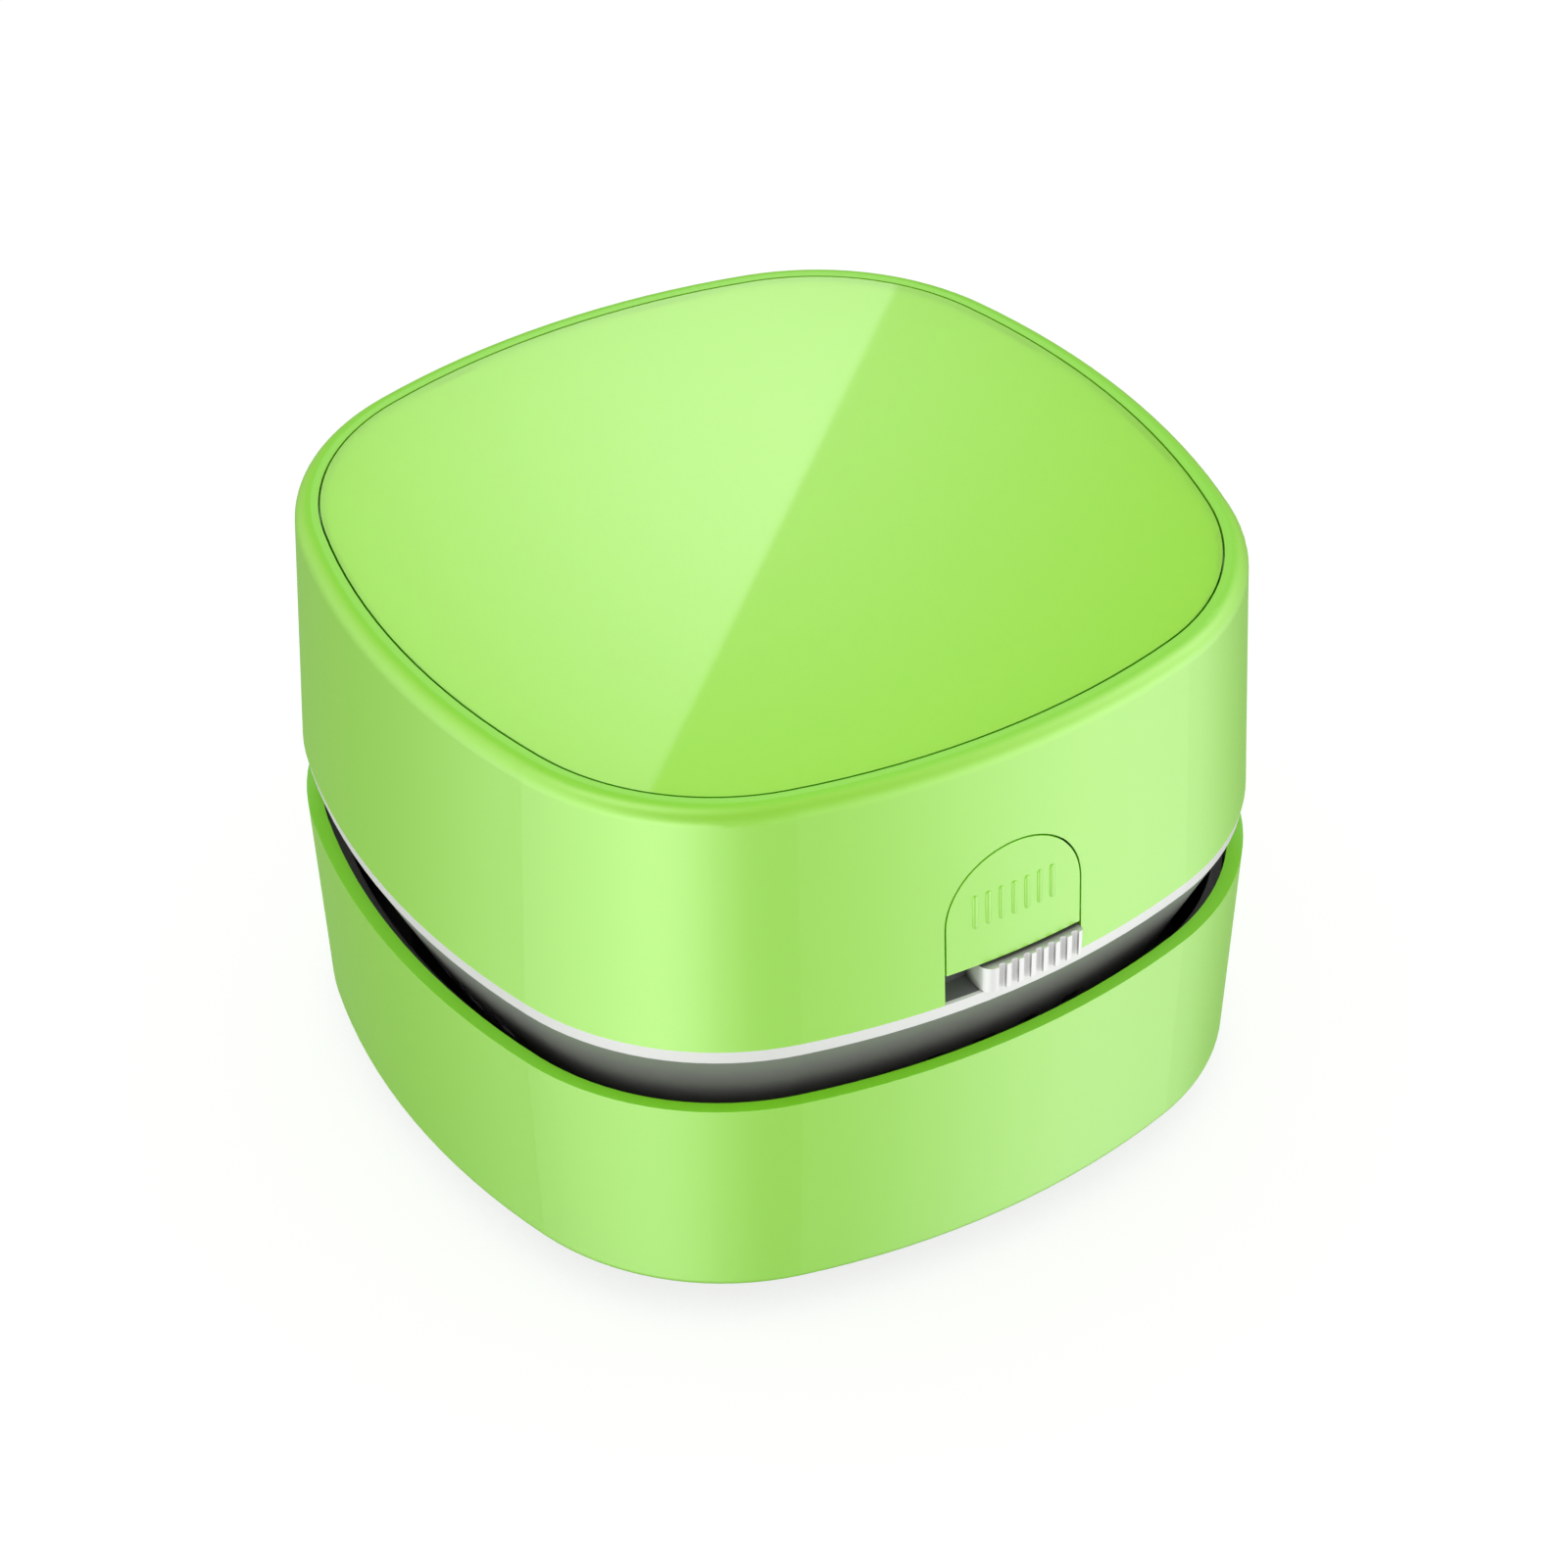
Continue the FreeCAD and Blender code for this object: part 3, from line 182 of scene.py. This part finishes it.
# ---------------------------------------------------------------- lower shell
# Green wall of the lower half, injection-moulded ABS from a polished tool, so its colour is even and
# glossy. Its flat rim and the other faces that look straight up are painted a deeper green: painted
# light, which stands in for how light falls on them.
def moulded(name, colour, cloud_colour, roughness, grain=None, ior=1.54, painted_top_colour=None, painted_hollow_shade=None):
    """Moulded plastic: a colour clouded faintly with a second one. A grain is its width and its relief
    in metres, and varies gloss and slope alike; polished plastic has none. Faces that look straight up
    may take a painted top colour, a deeper tint that stands in for how light falls on them. A painted
    hollow shade is a colour and a reach: painted shade, whose colour shows as far as ambient occlusion
    finds the surface closed in within that reach."""
    made, tree = material(name)
    cloud_width = 25 * mm
    place = add(tree, "ShaderNodeTexCoord").outputs["Object"]
    cloud = add(tree, "ShaderNodeTexNoise", {"Vector": place, "Scale": 1 / cloud_width, "Detail": 2.0})
    tone = add(tree, "ShaderNodeMix", {0: cloud.outputs[0], 6: linear(cloud_colour), 7: linear(colour)},
               data_type="RGBA")
    # Painted shade: where ambient occlusion finds the surface closed in, the colour turns to a darker one.
    if painted_hollow_shade:
        hollow_shade_colour, hollow_shade_reach = painted_hollow_shade
        free = add(tree, "ShaderNodeAmbientOcclusion", {"Distance": hollow_shade_reach}).outputs["AO"]
        open_share = add(tree, "ShaderNodeMapRange", {"Value": free, "From Min": 0.45, "From Max": 0.9})
        tone = add(tree, "ShaderNodeMix", {0: open_share.outputs[0], 6: linear(hollow_shade_colour),
                                           7: tone.outputs[2]}, data_type="RGBA")
    # Painted light: faces that look straight up take another colour, for how light falls on them.
    if painted_top_colour:
        normal = add(tree, "ShaderNodeNewGeometry").outputs["True Normal"]
        upward = add(tree, "ShaderNodeSeparateXYZ", {"Vector": normal}).outputs["Z"]
        painted_top_share = add(tree, "ShaderNodeMapRange", {"Value": upward, "From Min": 0.9, "From Max": 0.98})
        tone = add(tree, "ShaderNodeMix", {0: painted_top_share.outputs[0], 6: tone.outputs[2], 7: linear(painted_top_colour)},
                   data_type="RGBA")
    body = add(tree, "ShaderNodeBsdfPrincipled", {
        "Base Color": tone.outputs[2], "Roughness": roughness, "IOR": ior, "Specular IOR Level": 1.0})
    if grain:
        grain_width, relief = grain
        pits = add(tree, "ShaderNodeTexNoise", {"Vector": place, "Scale": 1 / grain_width, "Detail": 2.0})
        gloss = add(tree, "ShaderNodeMapRange", {"Value": pits.outputs[0], "From Min": 0.3, "From Max": 0.7,
                                                 "To Min": roughness * 0.9, "To Max": roughness * 1.1})
        surface = add(tree, "ShaderNodeBump", {"Height": pits.outputs[0], "Strength": 1.0,
                                               "Distance": relief})
        tree.links.new(gloss.outputs[0], body.inputs["Roughness"])
        tree.links.new(surface.outputs[0], body.inputs["Normal"])
    add(tree, "ShaderNodeOutputMaterial", {"Surface": body.outputs[0]})
    return made


def wear(made, *names):
    """Gives CAD nodes their material."""
    for name in names:
        nodes[name].material_slots[0].material = made


# The shell's flat rim, facing straight up, is painted a deeper green for how light falls on it.
wear(moulded("polished_abs_green_shell", "#99E726", "#97E524", 0.3, painted_top_colour="#92FC14"), "lower_shell")

# ---------------------------------------------------------------- dust cup
# Black ABS tub inside the shell, with the riser and the dust box's wall. Nobody sees it in use, so its
# tool was only stoned: a satin surface that shows a faint grain.
wear(moulded("satin_abs_deep_black", "#0E0E0F", "#0C0C0D", 0.5, (0.5 * mm, 0.003 * mm)), "dust_cup")

# ---------------------------------------------------------------- base plate
# Dark grey plate underneath, with the funnel of the suction mouth. Spark-eroded texture hides the
# scratches of the desk; its pits are about 0.3 mm wide and 12 micrometres deep.
wear(moulded("textured_abs_dark_grey", "#343437", "#2F2F32", 0.55, (0.3 * mm, 0.012 * mm)), "base_plate")


# ---------------------------------------------------------------- brush
# Moulded ring with 24 tufts of white nylon filament round the mouth. The filaments are packed tight
# where they enter the ring and spread towards their tips, which just clear the desk.
def skin(name, grids, made, body):
    """Closed surfaces from grids of points, copies x rows x columns x 3. Rows follow one another along
    a piece, columns run anticlockwise round it, and one face closes each end."""
    copies, rows, columns = grids.shape[:3]
    place = np.arange(copies * rows * columns).reshape(copies, rows, columns)
    beside = np.roll(place, -1, axis=2)
    walls = np.stack((place[:, :-1], beside[:, :-1], beside[:, 1:], place[:, 1:]), axis=-1).reshape(-1, 4)
    ends = np.concatenate((place[:, 0, ::-1], place[:, -1]))
    mesh = bpy.data.meshes.new(name)
    mesh.from_pydata(grids.reshape(-1, 3).tolist(), [], walls.tolist() + ends.tolist())
    mesh.polygons.foreach_set("use_smooth", np.ones(len(mesh.polygons), dtype=bool))
    mesh.set_sharp_from_angle(angle=math.radians(40))
    mesh.materials.append(made)
    piece = bpy.data.objects.new(name, mesh)
    bpy.context.scene.collection.objects.link(piece)
    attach(piece, body)
    return piece


wear(moulded("satin_abs_soft_black", "#222225", "#1E1E21", 0.38, (0.5 * mm, 0.003 * mm)), "brush_ring")
nylon_white = moulded("nylon_filament_white", "#E9E9E4", "#DEDED8", 0.35, (0.2 * mm, 0.002 * mm), 1.53)
tufts_low, tufts_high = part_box("bristle_tufts")
tuft_count, filaments_per_tuft = 24, 19
filament_radius, tuft_root, tuft_spread, tuft_radius = 0.11 * mm, 0.62 * mm, 0.86 * mm, 0.9 * mm
root_sink, filament_sway, cut_unevenness = 0.2 * mm, 0.05 * mm, 0.12 * mm
tuft_circle = tufts_high[0] - tuft_radius
golden_angle = math.radians(137.5)
chance = np.random.default_rng(7)
step = np.arange(filaments_per_tuft)
turn = step * golden_angle
reach = np.sqrt((step + 0.5) / filaments_per_tuft)
lean = reach[:, None] * np.stack((np.cos(turn), np.sin(turn)), axis=-1)
tuft_angle = np.arange(tuft_count) * 2 * math.pi / tuft_count
tuft_place = tuft_circle * np.stack((np.cos(tuft_angle), np.sin(tuft_angle)), axis=-1)
along = np.linspace(0, 1, 5)
growth = tuft_root + (tuft_spread - tuft_root) * along ** 2
sway = chance.normal(0, filament_sway, (tuft_count, filaments_per_tuft, 1, 2)) * along[:, None] ** 2
middle = tuft_place[:, None, None] + lean[None, :, None] * growth[:, None] + sway
around = np.linspace(0, 2 * math.pi, 5, endpoint=False)
ring = filament_radius * np.stack((np.cos(around), -np.sin(around)), axis=-1)
flat = middle[:, :, :, None] + ring
root_level = tufts_high[2] + root_sink
tip_level = tufts_low[2] + chance.uniform(0, cut_unevenness, (tuft_count, filaments_per_tuft, 1, 1))
level = np.broadcast_to(root_level + (tip_level - root_level) * along[:, None], flat.shape[:-1])
filaments = np.concatenate((flat, level[..., None]), axis=-1).reshape(-1, 5, 5, 3)
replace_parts(skin("bristle_filaments", filaments, nylon_white, "lower_body"), "bristle_tufts")

# ---------------------------------------------------------------- glide feet
# Four dark rubber pads, glued into shallow seats of the base plate. They are cast, and cast rubber is
# matte, with a fine, soft grain.
wear(moulded("cast_rubber_dark", "#2B2B2C", "#252526", 0.75, (0.35 * mm, 0.012 * mm), 1.52), "glide_feet")


# ---------------------------------------------------------------- screws
# Small zinc-plated steel screws with a pressed cross recess: four under the base plate, four through
# the tray into the bowl. The plating is bright, with a fine drawn grain.
def brushed(name, colour, roughness, line_width, stretch, relief, darker=0.86):
    """Metal with fine lines: noise that is line_width wide across and stretched along one axis, as
    streaks, gloss and relief. The darkest streak has the colour times darker."""
    made, tree = material(name)
    place = add(tree, "ShaderNodeTexCoord").outputs["Object"]
    scaled = add(tree, "ShaderNodeMapping", {"Vector": place, "Scale": stretch})
    line = add(tree, "ShaderNodeTexNoise", {"Vector": scaled.outputs[0], "Scale": 1 / line_width,
                                            "Detail": 2.0})
    shade = [part * darker for part in linear(colour)[:3]] + [1.0]
    tone = add(tree, "ShaderNodeMix", {0: line.outputs[0], 6: shade, 7: linear(colour)}, data_type="RGBA")
    gloss = add(tree, "ShaderNodeMapRange", {"Value": line.outputs[0], "From Min": 0.3, "From Max": 0.7,
                                             "To Min": roughness * 0.8, "To Max": roughness * 1.2})
    surface = add(tree, "ShaderNodeBump", {"Height": line.outputs[0], "Strength": 1.0, "Distance": relief})
    body = add(tree, "ShaderNodeBsdfPrincipled", {
        "Base Color": tone.outputs[2], "Metallic": 1.0, "Roughness": gloss.outputs[0],
        "Normal": surface.outputs[0]})
    add(tree, "ShaderNodeOutputMaterial", {"Surface": body.outputs[0]})
    return made


zinc_steel = brushed("zinc_plated_steel", "#C4C6C9", 0.32, 0.3 * mm, (1, 1, 4), 0.002 * mm)
head_radius, head_height, shank_radius = 2.0 * mm, 0.8 * mm, 1.0 * mm
point_radius, point_length, middle_radius, face_radius = 0.8 * mm, 0.3 * mm, 0.02 * mm, 1.75 * mm
recess_half_width, recess_reach, recess_depth = 0.24 * mm, 1.25 * mm, 0.45 * mm
recess_side, recess_end = 0.1 * mm, 0.3 * mm


def screws(name, places, face_level, tip_level, body):
    """Screws at (x, y) places: a turned profile from the tip to the middle of the head, as radius and
    depth below the face. The recess sinks where the nearer arm's middle line is less than half a slot
    away, and fades out at the arm's end."""
    outward = 1 if face_level > tip_level else -1
    length = abs(face_level - tip_level)
    face = np.linspace(face_radius, middle_radius, 20)
    radius = np.concatenate(([middle_radius, point_radius, shank_radius, shank_radius, head_radius * 0.95,
                              head_radius, head_radius, head_radius * 0.95], face))[:, None]
    depth = np.concatenate(([length, length, length - point_length, head_height, head_height,
                             head_height * 0.9, head_height * 0.2, head_height * 0.05], 0 * face))[:, None]
    turn = np.linspace(0, 2 * math.pi, 72, endpoint=False)[None]
    across = radius * np.minimum(abs(np.cos(turn)), abs(np.sin(turn)))
    reach = radius * np.maximum(abs(np.cos(turn)), abs(np.sin(turn)))
    sunk = np.clip((recess_half_width - across) / recess_side, 0, 1)
    sunk = sunk * np.clip((recess_reach - reach) / recess_end, 0, 1) * (depth == 0)
    grid = np.stack(np.broadcast_arrays(radius * np.cos(turn), outward * radius * np.sin(turn),
                                        face_level - outward * (depth + recess_depth * sunk)), axis=-1)
    flat_places = np.concatenate((np.array(places), np.zeros((len(places), 1))), axis=1)
    return skin(name, grid[None] + flat_places[:, None, None], zinc_steel, body)


screws_low, screws_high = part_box("base_screws")
reach = screws_high[0] - head_radius
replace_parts(screws("base_screw_set", [(reach, 0), (0, reach), (-reach, 0), (0, -reach)],
                   screws_low[2], screws_high[2], "lower_body"), "base_screws")
screws_low, screws_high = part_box("frame_screws")
reach = screws_high[0] - head_radius
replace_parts(screws("frame_screw_set", [(reach, reach), (-reach, reach), (-reach, -reach), (reach, -reach)],
                   screws_high[2], screws_low[2], "upper_unit"), "frame_screws")

# ---------------------------------------------------------------- fan bowl
# Grey ABS bowl that closes the upper half below. It was moulded in a polished tool, because it shows in
# the open slot, and it carries the vents that blow there.
wear(moulded("polished_abs_grey", "#8F8990", "#8B858C", 0.3), "fan_bowl")

# ---------------------------------------------------------------- gasket
# Black foam-rubber ring glued into the bowl's floor; it lands on the dust box's wall. It is cut from
# sheet, so its open cells make it dull and coarse.
wear(moulded("foam_rubber_black", "#1C1C1C", "#151515", 0.9, (0.4 * mm, 0.03 * mm), 1.5), "seal_gasket")

# ---------------------------------------------------------------- filter
# White frame with a disc of woven nylon welded on its bars. The threads lie 0.5 mm apart and pass over
# and under each other, which shows as a fine, soft grid.
wear(moulded("satin_nylon_white", "#E6E6E1", "#E0E0DA", 0.45, (0.6 * mm, 0.003 * mm), 1.53), "filter_frame")
thread_pitch = 0.5 * mm
woven, tree = material("woven_nylon_mesh")
place = add(tree, "ShaderNodeTexCoord").outputs["Object"]
split = add(tree, "ShaderNodeSeparateXYZ", {"Vector": place})
threads = []
for axis in ("X", "Y"):
    phase = add(tree, "ShaderNodeMath", {0: split.outputs[axis], 1: 2 * math.pi / thread_pitch},
                operation="MULTIPLY")
    wave = add(tree, "ShaderNodeMath", {0: phase.outputs[0]}, operation="COSINE")
    threads.append(add(tree, "ShaderNodeMapRange", {"Value": wave.outputs[0], "From Min": -0.2,
                                                    "From Max": 0.6}).outputs[0])
cloth = add(tree, "ShaderNodeMath", {0: threads[0], 1: threads[1]}, operation="MAXIMUM")
tone = add(tree, "ShaderNodeMix", {0: cloth.outputs[0], 6: linear("#8B8B86"), 7: linear("#EDEDE8")},
           data_type="RGBA")
relief = add(tree, "ShaderNodeBump", {"Height": cloth.outputs[0], "Strength": 1.0, "Distance": 0.1 * mm})
body = add(tree, "ShaderNodeBsdfPrincipled", {"Base Color": tone.outputs[2], "Roughness": 0.6, "IOR": 1.53,
                                              "Sheen Weight": 0.2, "Normal": relief.outputs[0]})
add(tree, "ShaderNodeOutputMaterial", {"Surface": body.outputs[0]})

mesh_low, mesh_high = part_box("filter_mesh")
mesh_radius, mesh_middle = mesh_high[0] - 0.05 * mm, (mesh_low[2] + mesh_high[2]) / 2
cloth_half, cloth_edge, rim_share = 0.15 * mm, 0.02 * mm, 0.999
turn = np.linspace(0, 2 * math.pi, 96, endpoint=False)
disc_radius = mesh_radius * np.array([[rim_share], [1], [1], [rim_share]])
disc_level = mesh_middle + np.array([[-cloth_half], [cloth_edge - cloth_half], [cloth_half - cloth_edge],
                                     [cloth_half]])
disc = np.stack(np.broadcast_arrays(disc_radius * np.cos(turn), disc_radius * np.sin(turn), disc_level),
                axis=-1)
filter_cloth = skin("filter_cloth", disc[None], woven, "upper_unit")
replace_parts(filter_cloth, "filter_mesh")

# ---------------------------------------------------------------- fan
# White moulded impeller, pressed on the motor's ground steel shaft. The rotor inside the motor is a
# stack of thin iron sheets with a copper coil round each of its three poles.
wear(moulded("satin_abs_fan_white", "#ECECE8", "#E6E6E2", 0.4, (0.8 * mm, 0.003 * mm)), "impeller")
wear(brushed("ground_steel", "#CDCED0", 0.18, 0.15 * mm, (1, 1, 0.1), 0.0005 * mm), "motor_shaft")
wear(brushed("laminated_iron", "#8E8F91", 0.45, 0.35 * mm, (0.05, 0.05, 1), 0.02 * mm, 0.55), "armature")
wear(brushed("enamelled_copper_wire", "#C9743F", 0.25, 0.3 * mm, (1, 1, 0.1), 0.05 * mm, 0.6), "windings")

# ---------------------------------------------------------------- motor
# Flat-sided can, drawn from zinc-plated sheet, so its grain runs upwards. It holds two dark ferrite
# magnets and is closed by a cream nylon cap with two tinned brass tabs.
wear(brushed("drawn_zinc_plated_sheet", "#BFC1C4", 0.3, 0.25 * mm, (1, 1, 0.08), 0.001 * mm), "motor_can")
wear(moulded("sintered_ferrite", "#2A2A2B", "#222223", 0.6, (0.2 * mm, 0.01 * mm)), "motor_magnets")
wear(moulded("satin_nylon_cream", "#EFECE2", "#E9E5DA", 0.42, (0.7 * mm, 0.003 * mm), 1.53),
     "motor_end_cap")
wear(brushed("tinned_brass", "#D8D2BE", 0.28, 0.2 * mm, (1, 1, 0.2), 0.001 * mm), "motor_terminals")

# ---------------------------------------------------------------- frame plate
# White ABS plate between the two halves, whose edge is the bright ring. Its tool is polished like the
# cover's, because that edge shows all round.
white_abs = moulded("polished_abs_white", "#FCFCFB", "#FAFAF9", 0.3)
wear(white_abs, "frame_plate")

# ---------------------------------------------------------------- battery tray
# Black tray with two cradles, held down by the four long screws; the switch's body is black too. Both
# are satin ABS, as they are covered in use.
satin_black = moulded("satin_abs_black", "#1E1E20", "#1A1A1C", 0.42, (0.5 * mm, 0.003 * mm))
wear(satin_black, "battery_tray", "switch_body")

# ---------------------------------------------------------------- cells
# Two AA cells, nub to the front on the right and to the back on the left. Each is a steel cup in a
# printed vinyl sleeve that is shrunk over both shoulders, with a bare nub and a bare flat end.
can_profile = [(0.02, 0.0), (4.4, 0.0), (5.3, 0.15), (6.3, 0.15), (6.8, 0.7), (6.8, 48.6), (6.2, 49.2),
               (3.3, 49.3), (2.9, 49.5), (2.75, 49.7), (2.75, 50.2), (2.5, 50.45), (2.2, 50.5),
               (0.02, 50.5)]
sleeve_profile = [(5.9, 0.6), (5.9, 0.13), (6.5, 0.05), (6.95, 0.2), (7.2, 0.6), (7.25, 1.1),
                  (7.25, 48.0), (7.2, 48.6), (6.95, 49.1), (6.5, 49.35), (5.6, 49.4), (5.6, 48.8)]
band_length, band_blur, ripple_width, ripple_relief = 14 * mm, 0.1 * mm, 3 * mm, 0.01 * mm
nickel_cup = brushed("nickel_plated_cup", "#CFCDC8", 0.28, 0.8 * mm, (1, 1, 1), 0.0001 * mm, 0.92)


def cell_skin(name, profile, node, nub_side, made):
    """A profile of (radius, distance from the flat end) in millimetres, turned about the cell's axis."""
    low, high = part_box(node)
    flat_end = high[1] if nub_side < 0 else low[1]
    radius, distance = np.array(profile).T[..., None] * mm
    turn = np.linspace(0, 2 * math.pi, 80, endpoint=False)
    across = (low[0] + high[0]) / 2 - nub_side * radius * np.cos(turn)
    upward = (low[2] + high[2]) / 2 + radius * np.sin(turn)
    along = np.broadcast_to(flat_end + nub_side * distance, across.shape)
    grid = np.stack((across, along, upward), axis=-1)
    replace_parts(skin(name, grid[None], made, "upper_unit"), node)


for node, nub_side, label in (("battery_cell_right", -1, "right"), ("battery_cell_left", 1, "left")):
    vinyl, tree = material("printed_vinyl_sleeve_" + label)
    place = add(tree, "ShaderNodeTexCoord").outputs["Object"]
    along = add(tree, "ShaderNodeSeparateXYZ", {"Vector": place}).outputs["Y"]
    band_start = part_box(node)[0 if nub_side < 0 else 1][1] - nub_side * band_length
    band = add(tree, "ShaderNodeMapRange", {"Value": along, "From Min": band_start,
                                            "From Max": band_start + nub_side * band_blur})
    tone = add(tree, "ShaderNodeMix", {0: band.outputs[0], 6: linear("#35383D"), 7: linear("#B7BBBF")},
               data_type="RGBA")
    ripple = add(tree, "ShaderNodeTexNoise", {"Vector": place, "Scale": 1 / ripple_width, "Detail": 1.0})
    shrunk = add(tree, "ShaderNodeBump", {"Height": ripple.outputs[0], "Strength": 1.0,
                                          "Distance": ripple_relief})
    body = add(tree, "ShaderNodeBsdfPrincipled", {"Base Color": tone.outputs[2], "Roughness": 0.25,
                                                  "IOR": 1.53, "Normal": shrunk.outputs[0]})
    add(tree, "ShaderNodeOutputMaterial", {"Surface": body.outputs[0]})
    cell_skin("cell_cup_" + label, can_profile, node, nub_side, nickel_cup)
    cell_skin("cell_sleeve_" + label, sleeve_profile, node, nub_side, vinyl)

# ---------------------------------------------------------------- contacts
# Stamped spring-steel plates and wound cone springs, both nickel-plated and bright. The rolled strip
# that the plates come from leaves a faint grain from side to side.
nickel = brushed("nickel_plated_spring_steel", "#D3D0CA", 0.24, 0.3 * mm, (0.15, 1, 1), 0.0003 * mm, 0.92)
wear(nickel, "contact_plates", "contact_springs")

# ---------------------------------------------------------------- leads
# Stranded wire in soft PVC, red from the right contact and black on the switch's side, soldered to the
# contacts and to the motor's tabs. The insulation is smooth and slightly waxy, the solder bright.
wear(moulded("pvc_insulation_red", "#C2241D", "#BA1F18", 0.38, (1.0 * mm, 0.002 * mm), 1.53), "lead_red")
wear(moulded("pvc_insulation_black", "#1D1D1E", "#191919", 0.38, (1.0 * mm, 0.002 * mm), 1.53),
     "lead_black")
solder = brushed("tin_solder", "#C9CBCE", 0.22, 0.4 * mm, (1, 1, 1), 0.004 * mm)
solder_radius, lead_radius, lead_spread = 0.8 * mm, 0.5 * mm, 0.7 * mm
tabs_low, tabs_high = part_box("motor_terminals")
plates_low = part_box("contact_plates")[0]
tab_level = (tabs_low[2] + tabs_high[2]) / 2
rest_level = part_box("battery_tray")[1][2] + lead_radius
solder_places = np.array([(0, tabs_high[1], tab_level), (lead_spread, tabs_low[1], tab_level),
                          (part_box("lead_red")[1][0] - lead_radius, plates_low[1], rest_level),
                          (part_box("lead_black")[0][0] + lead_radius, plates_low[1], rest_level)])
tilt = np.linspace(-0.49, 0.49, 9)[:, None] * math.pi
turn = np.linspace(0, 2 * math.pi, 20, endpoint=False)
blob = solder_radius * np.stack(np.broadcast_arrays(
    np.cos(tilt) * np.cos(turn), 0.6 * np.cos(tilt) * np.sin(turn), 0.8 * np.sin(tilt)), axis=-1)
skin("solder_joints", solder_places[:, None, None] + blob, solder, "upper_unit")

# ---------------------------------------------------------------- slide switch
# Dark tray and white knob, whose seven upright grooves give a fingertip its grip. Its plastic is that of
# the frame plate, with painted shade: it turns grey in the grooves and under the button's edge, as far as
# ambient occlusion finds it closed in.
wear(moulded("satin_abs_dark_grey", "#77757A", "#737176", 0.4, (0.6 * mm, 0.002 * mm)), "switch_tray")
# Painted shade: the knob turns grey where its grooves and the button's edge close it in.
wear(moulded("polished_abs_white_knob_painted_shade", "#FCFCFB", "#FAFAF9", 0.3, painted_hollow_shade=("#6A6568", 2 * mm)),
     "switch_knob")

# ---------------------------------------------------------------- push button
# Arched green button, flush with the cover's wall, on a nickel-plated spring. Raised upright ribs mark
# where the finger presses; they are moulded in one with it and stand 0.16 mm proud.
# Faces of the button and the cover that look straight up are painted a deeper green, for how light falls on
# them.
green_abs = moulded("polished_abs_green", "#99E726", "#97E524", 0.3, painted_top_colour="#8EE81C")
wear(green_abs, "push_button")
wear(nickel, "button_spring")
cover_low, cover_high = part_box("cover_shell")
side_radius, wall_lean = 80 * mm, math.tan(math.radians(2.4))


def cover_front(x, z):
    """Y of the cover's front face: an arc seen from above, whose radius shrinks by the height above the
    cover's edge times the tangent of the wall's lean."""
    reach = side_radius - wall_lean * (z - cover_low[2])
    return side_radius - cover_high[0] - np.sqrt(reach ** 2 - x ** 2)


first_rib, last_rib, rib_count = -4.3 * mm, 4.1 * mm, 7
rib_half_width, rib_half_height, rib_level = 0.3 * mm, 1.85 * mm, 43.7 * mm
rib_relief, rib_sink = 0.16 * mm, 0.096 * mm
rib_places = np.linspace(first_rib, last_rib, rib_count)
slope = np.linspace(0, 0.49, 7) * math.pi
share = np.concatenate(([1.0], np.cos(slope)))[:, None]
rise = np.concatenate(([-rib_sink], rib_relief * np.sin(slope)))[:, None]
turn = np.linspace(0, 2 * math.pi, 24, endpoint=False)
straight = np.sign(np.sin(turn).round(6)) * (rib_half_height - rib_half_width)
x = rib_places[:, None, None] + share * rib_half_width * np.cos(turn)
z = np.broadcast_to(rib_level + share * rib_half_width * np.sin(turn) + straight, x.shape)
ribs = np.stack((x, cover_front(x, z) - rise, z), axis=-1)
skin("button_grip_ribs", ribs, green_abs, "push_button")

# ---------------------------------------------------------------- cover
# Green ABS cover over cells and motor, moulded like the lower shell and from the same batch, so the
# colours match.
wear(green_abs, "cover_shell")

# ---------------------------------------------------------------- top plate
# Polycarbonate plate, let in flush over the cover's shallow pocket. It is tinted and slightly milky, so
# the pocket shows through it only faintly; its faces are mirror-smooth and its cut edge is matte. The cut
# edge is a flat dark green: painted shade, which draws the dark line of the gap round the plate.
milkiness = 0.72
tinted_plate, tree = material("milky_polycarbonate_green")
pane = add(tree, "ShaderNodeBsdfPrincipled", {
    "Base Color": linear("#FCFFF8"), "Roughness": 0.02, "IOR": 1.585, "Transmission Weight": 1.0})
milk = add(tree, "ShaderNodeBsdfPrincipled", {
    "Base Color": linear("#A0EC2A"), "Roughness": 0.02, "IOR": 1.585})
body = add(tree, "ShaderNodeMixShader", {0: milkiness, 1: pane.outputs[0], 2: milk.outputs[0]})
through = add(tree, "ShaderNodeBsdfTransparent", {"Color": linear("#F8FDF0")})
ray = add(tree, "ShaderNodeLightPath")
soft_ray = add(tree, "ShaderNodeMath", {0: ray.outputs["Is Shadow Ray"], 1: ray.outputs["Is Diffuse Ray"]},
               operation="MAXIMUM")
faces = add(tree, "ShaderNodeMixShader", {0: soft_ray.outputs[0], 1: body.outputs[0],
                                          2: through.outputs[0]})
normal = add(tree, "ShaderNodeNewGeometry").outputs["Normal"]
slope = add(tree, "ShaderNodeSeparateXYZ", {"Vector": normal}).outputs["Z"]
steep = add(tree, "ShaderNodeMath", {0: slope}, operation="ABSOLUTE")
edge_share = add(tree, "ShaderNodeMapRange", {"Value": steep.outputs[0], "From Min": 0.7, "From Max": 0.3})
# Painted shade: steep faces turn a flat dark green, for the dark line of the gap round the plate.
edge_painted_shade = add(tree, "ShaderNodeBsdfDiffuse", {"Color": linear("#4BA508")})
plate_look = add(tree, "ShaderNodeMixShader", {0: edge_share.outputs[0], 1: faces.outputs[0],
                                               2: edge_painted_shade.outputs[0]})
add(tree, "ShaderNodeOutputMaterial", {"Surface": plate_look.outputs[0]})
wear(tinted_plate, "top_plate")
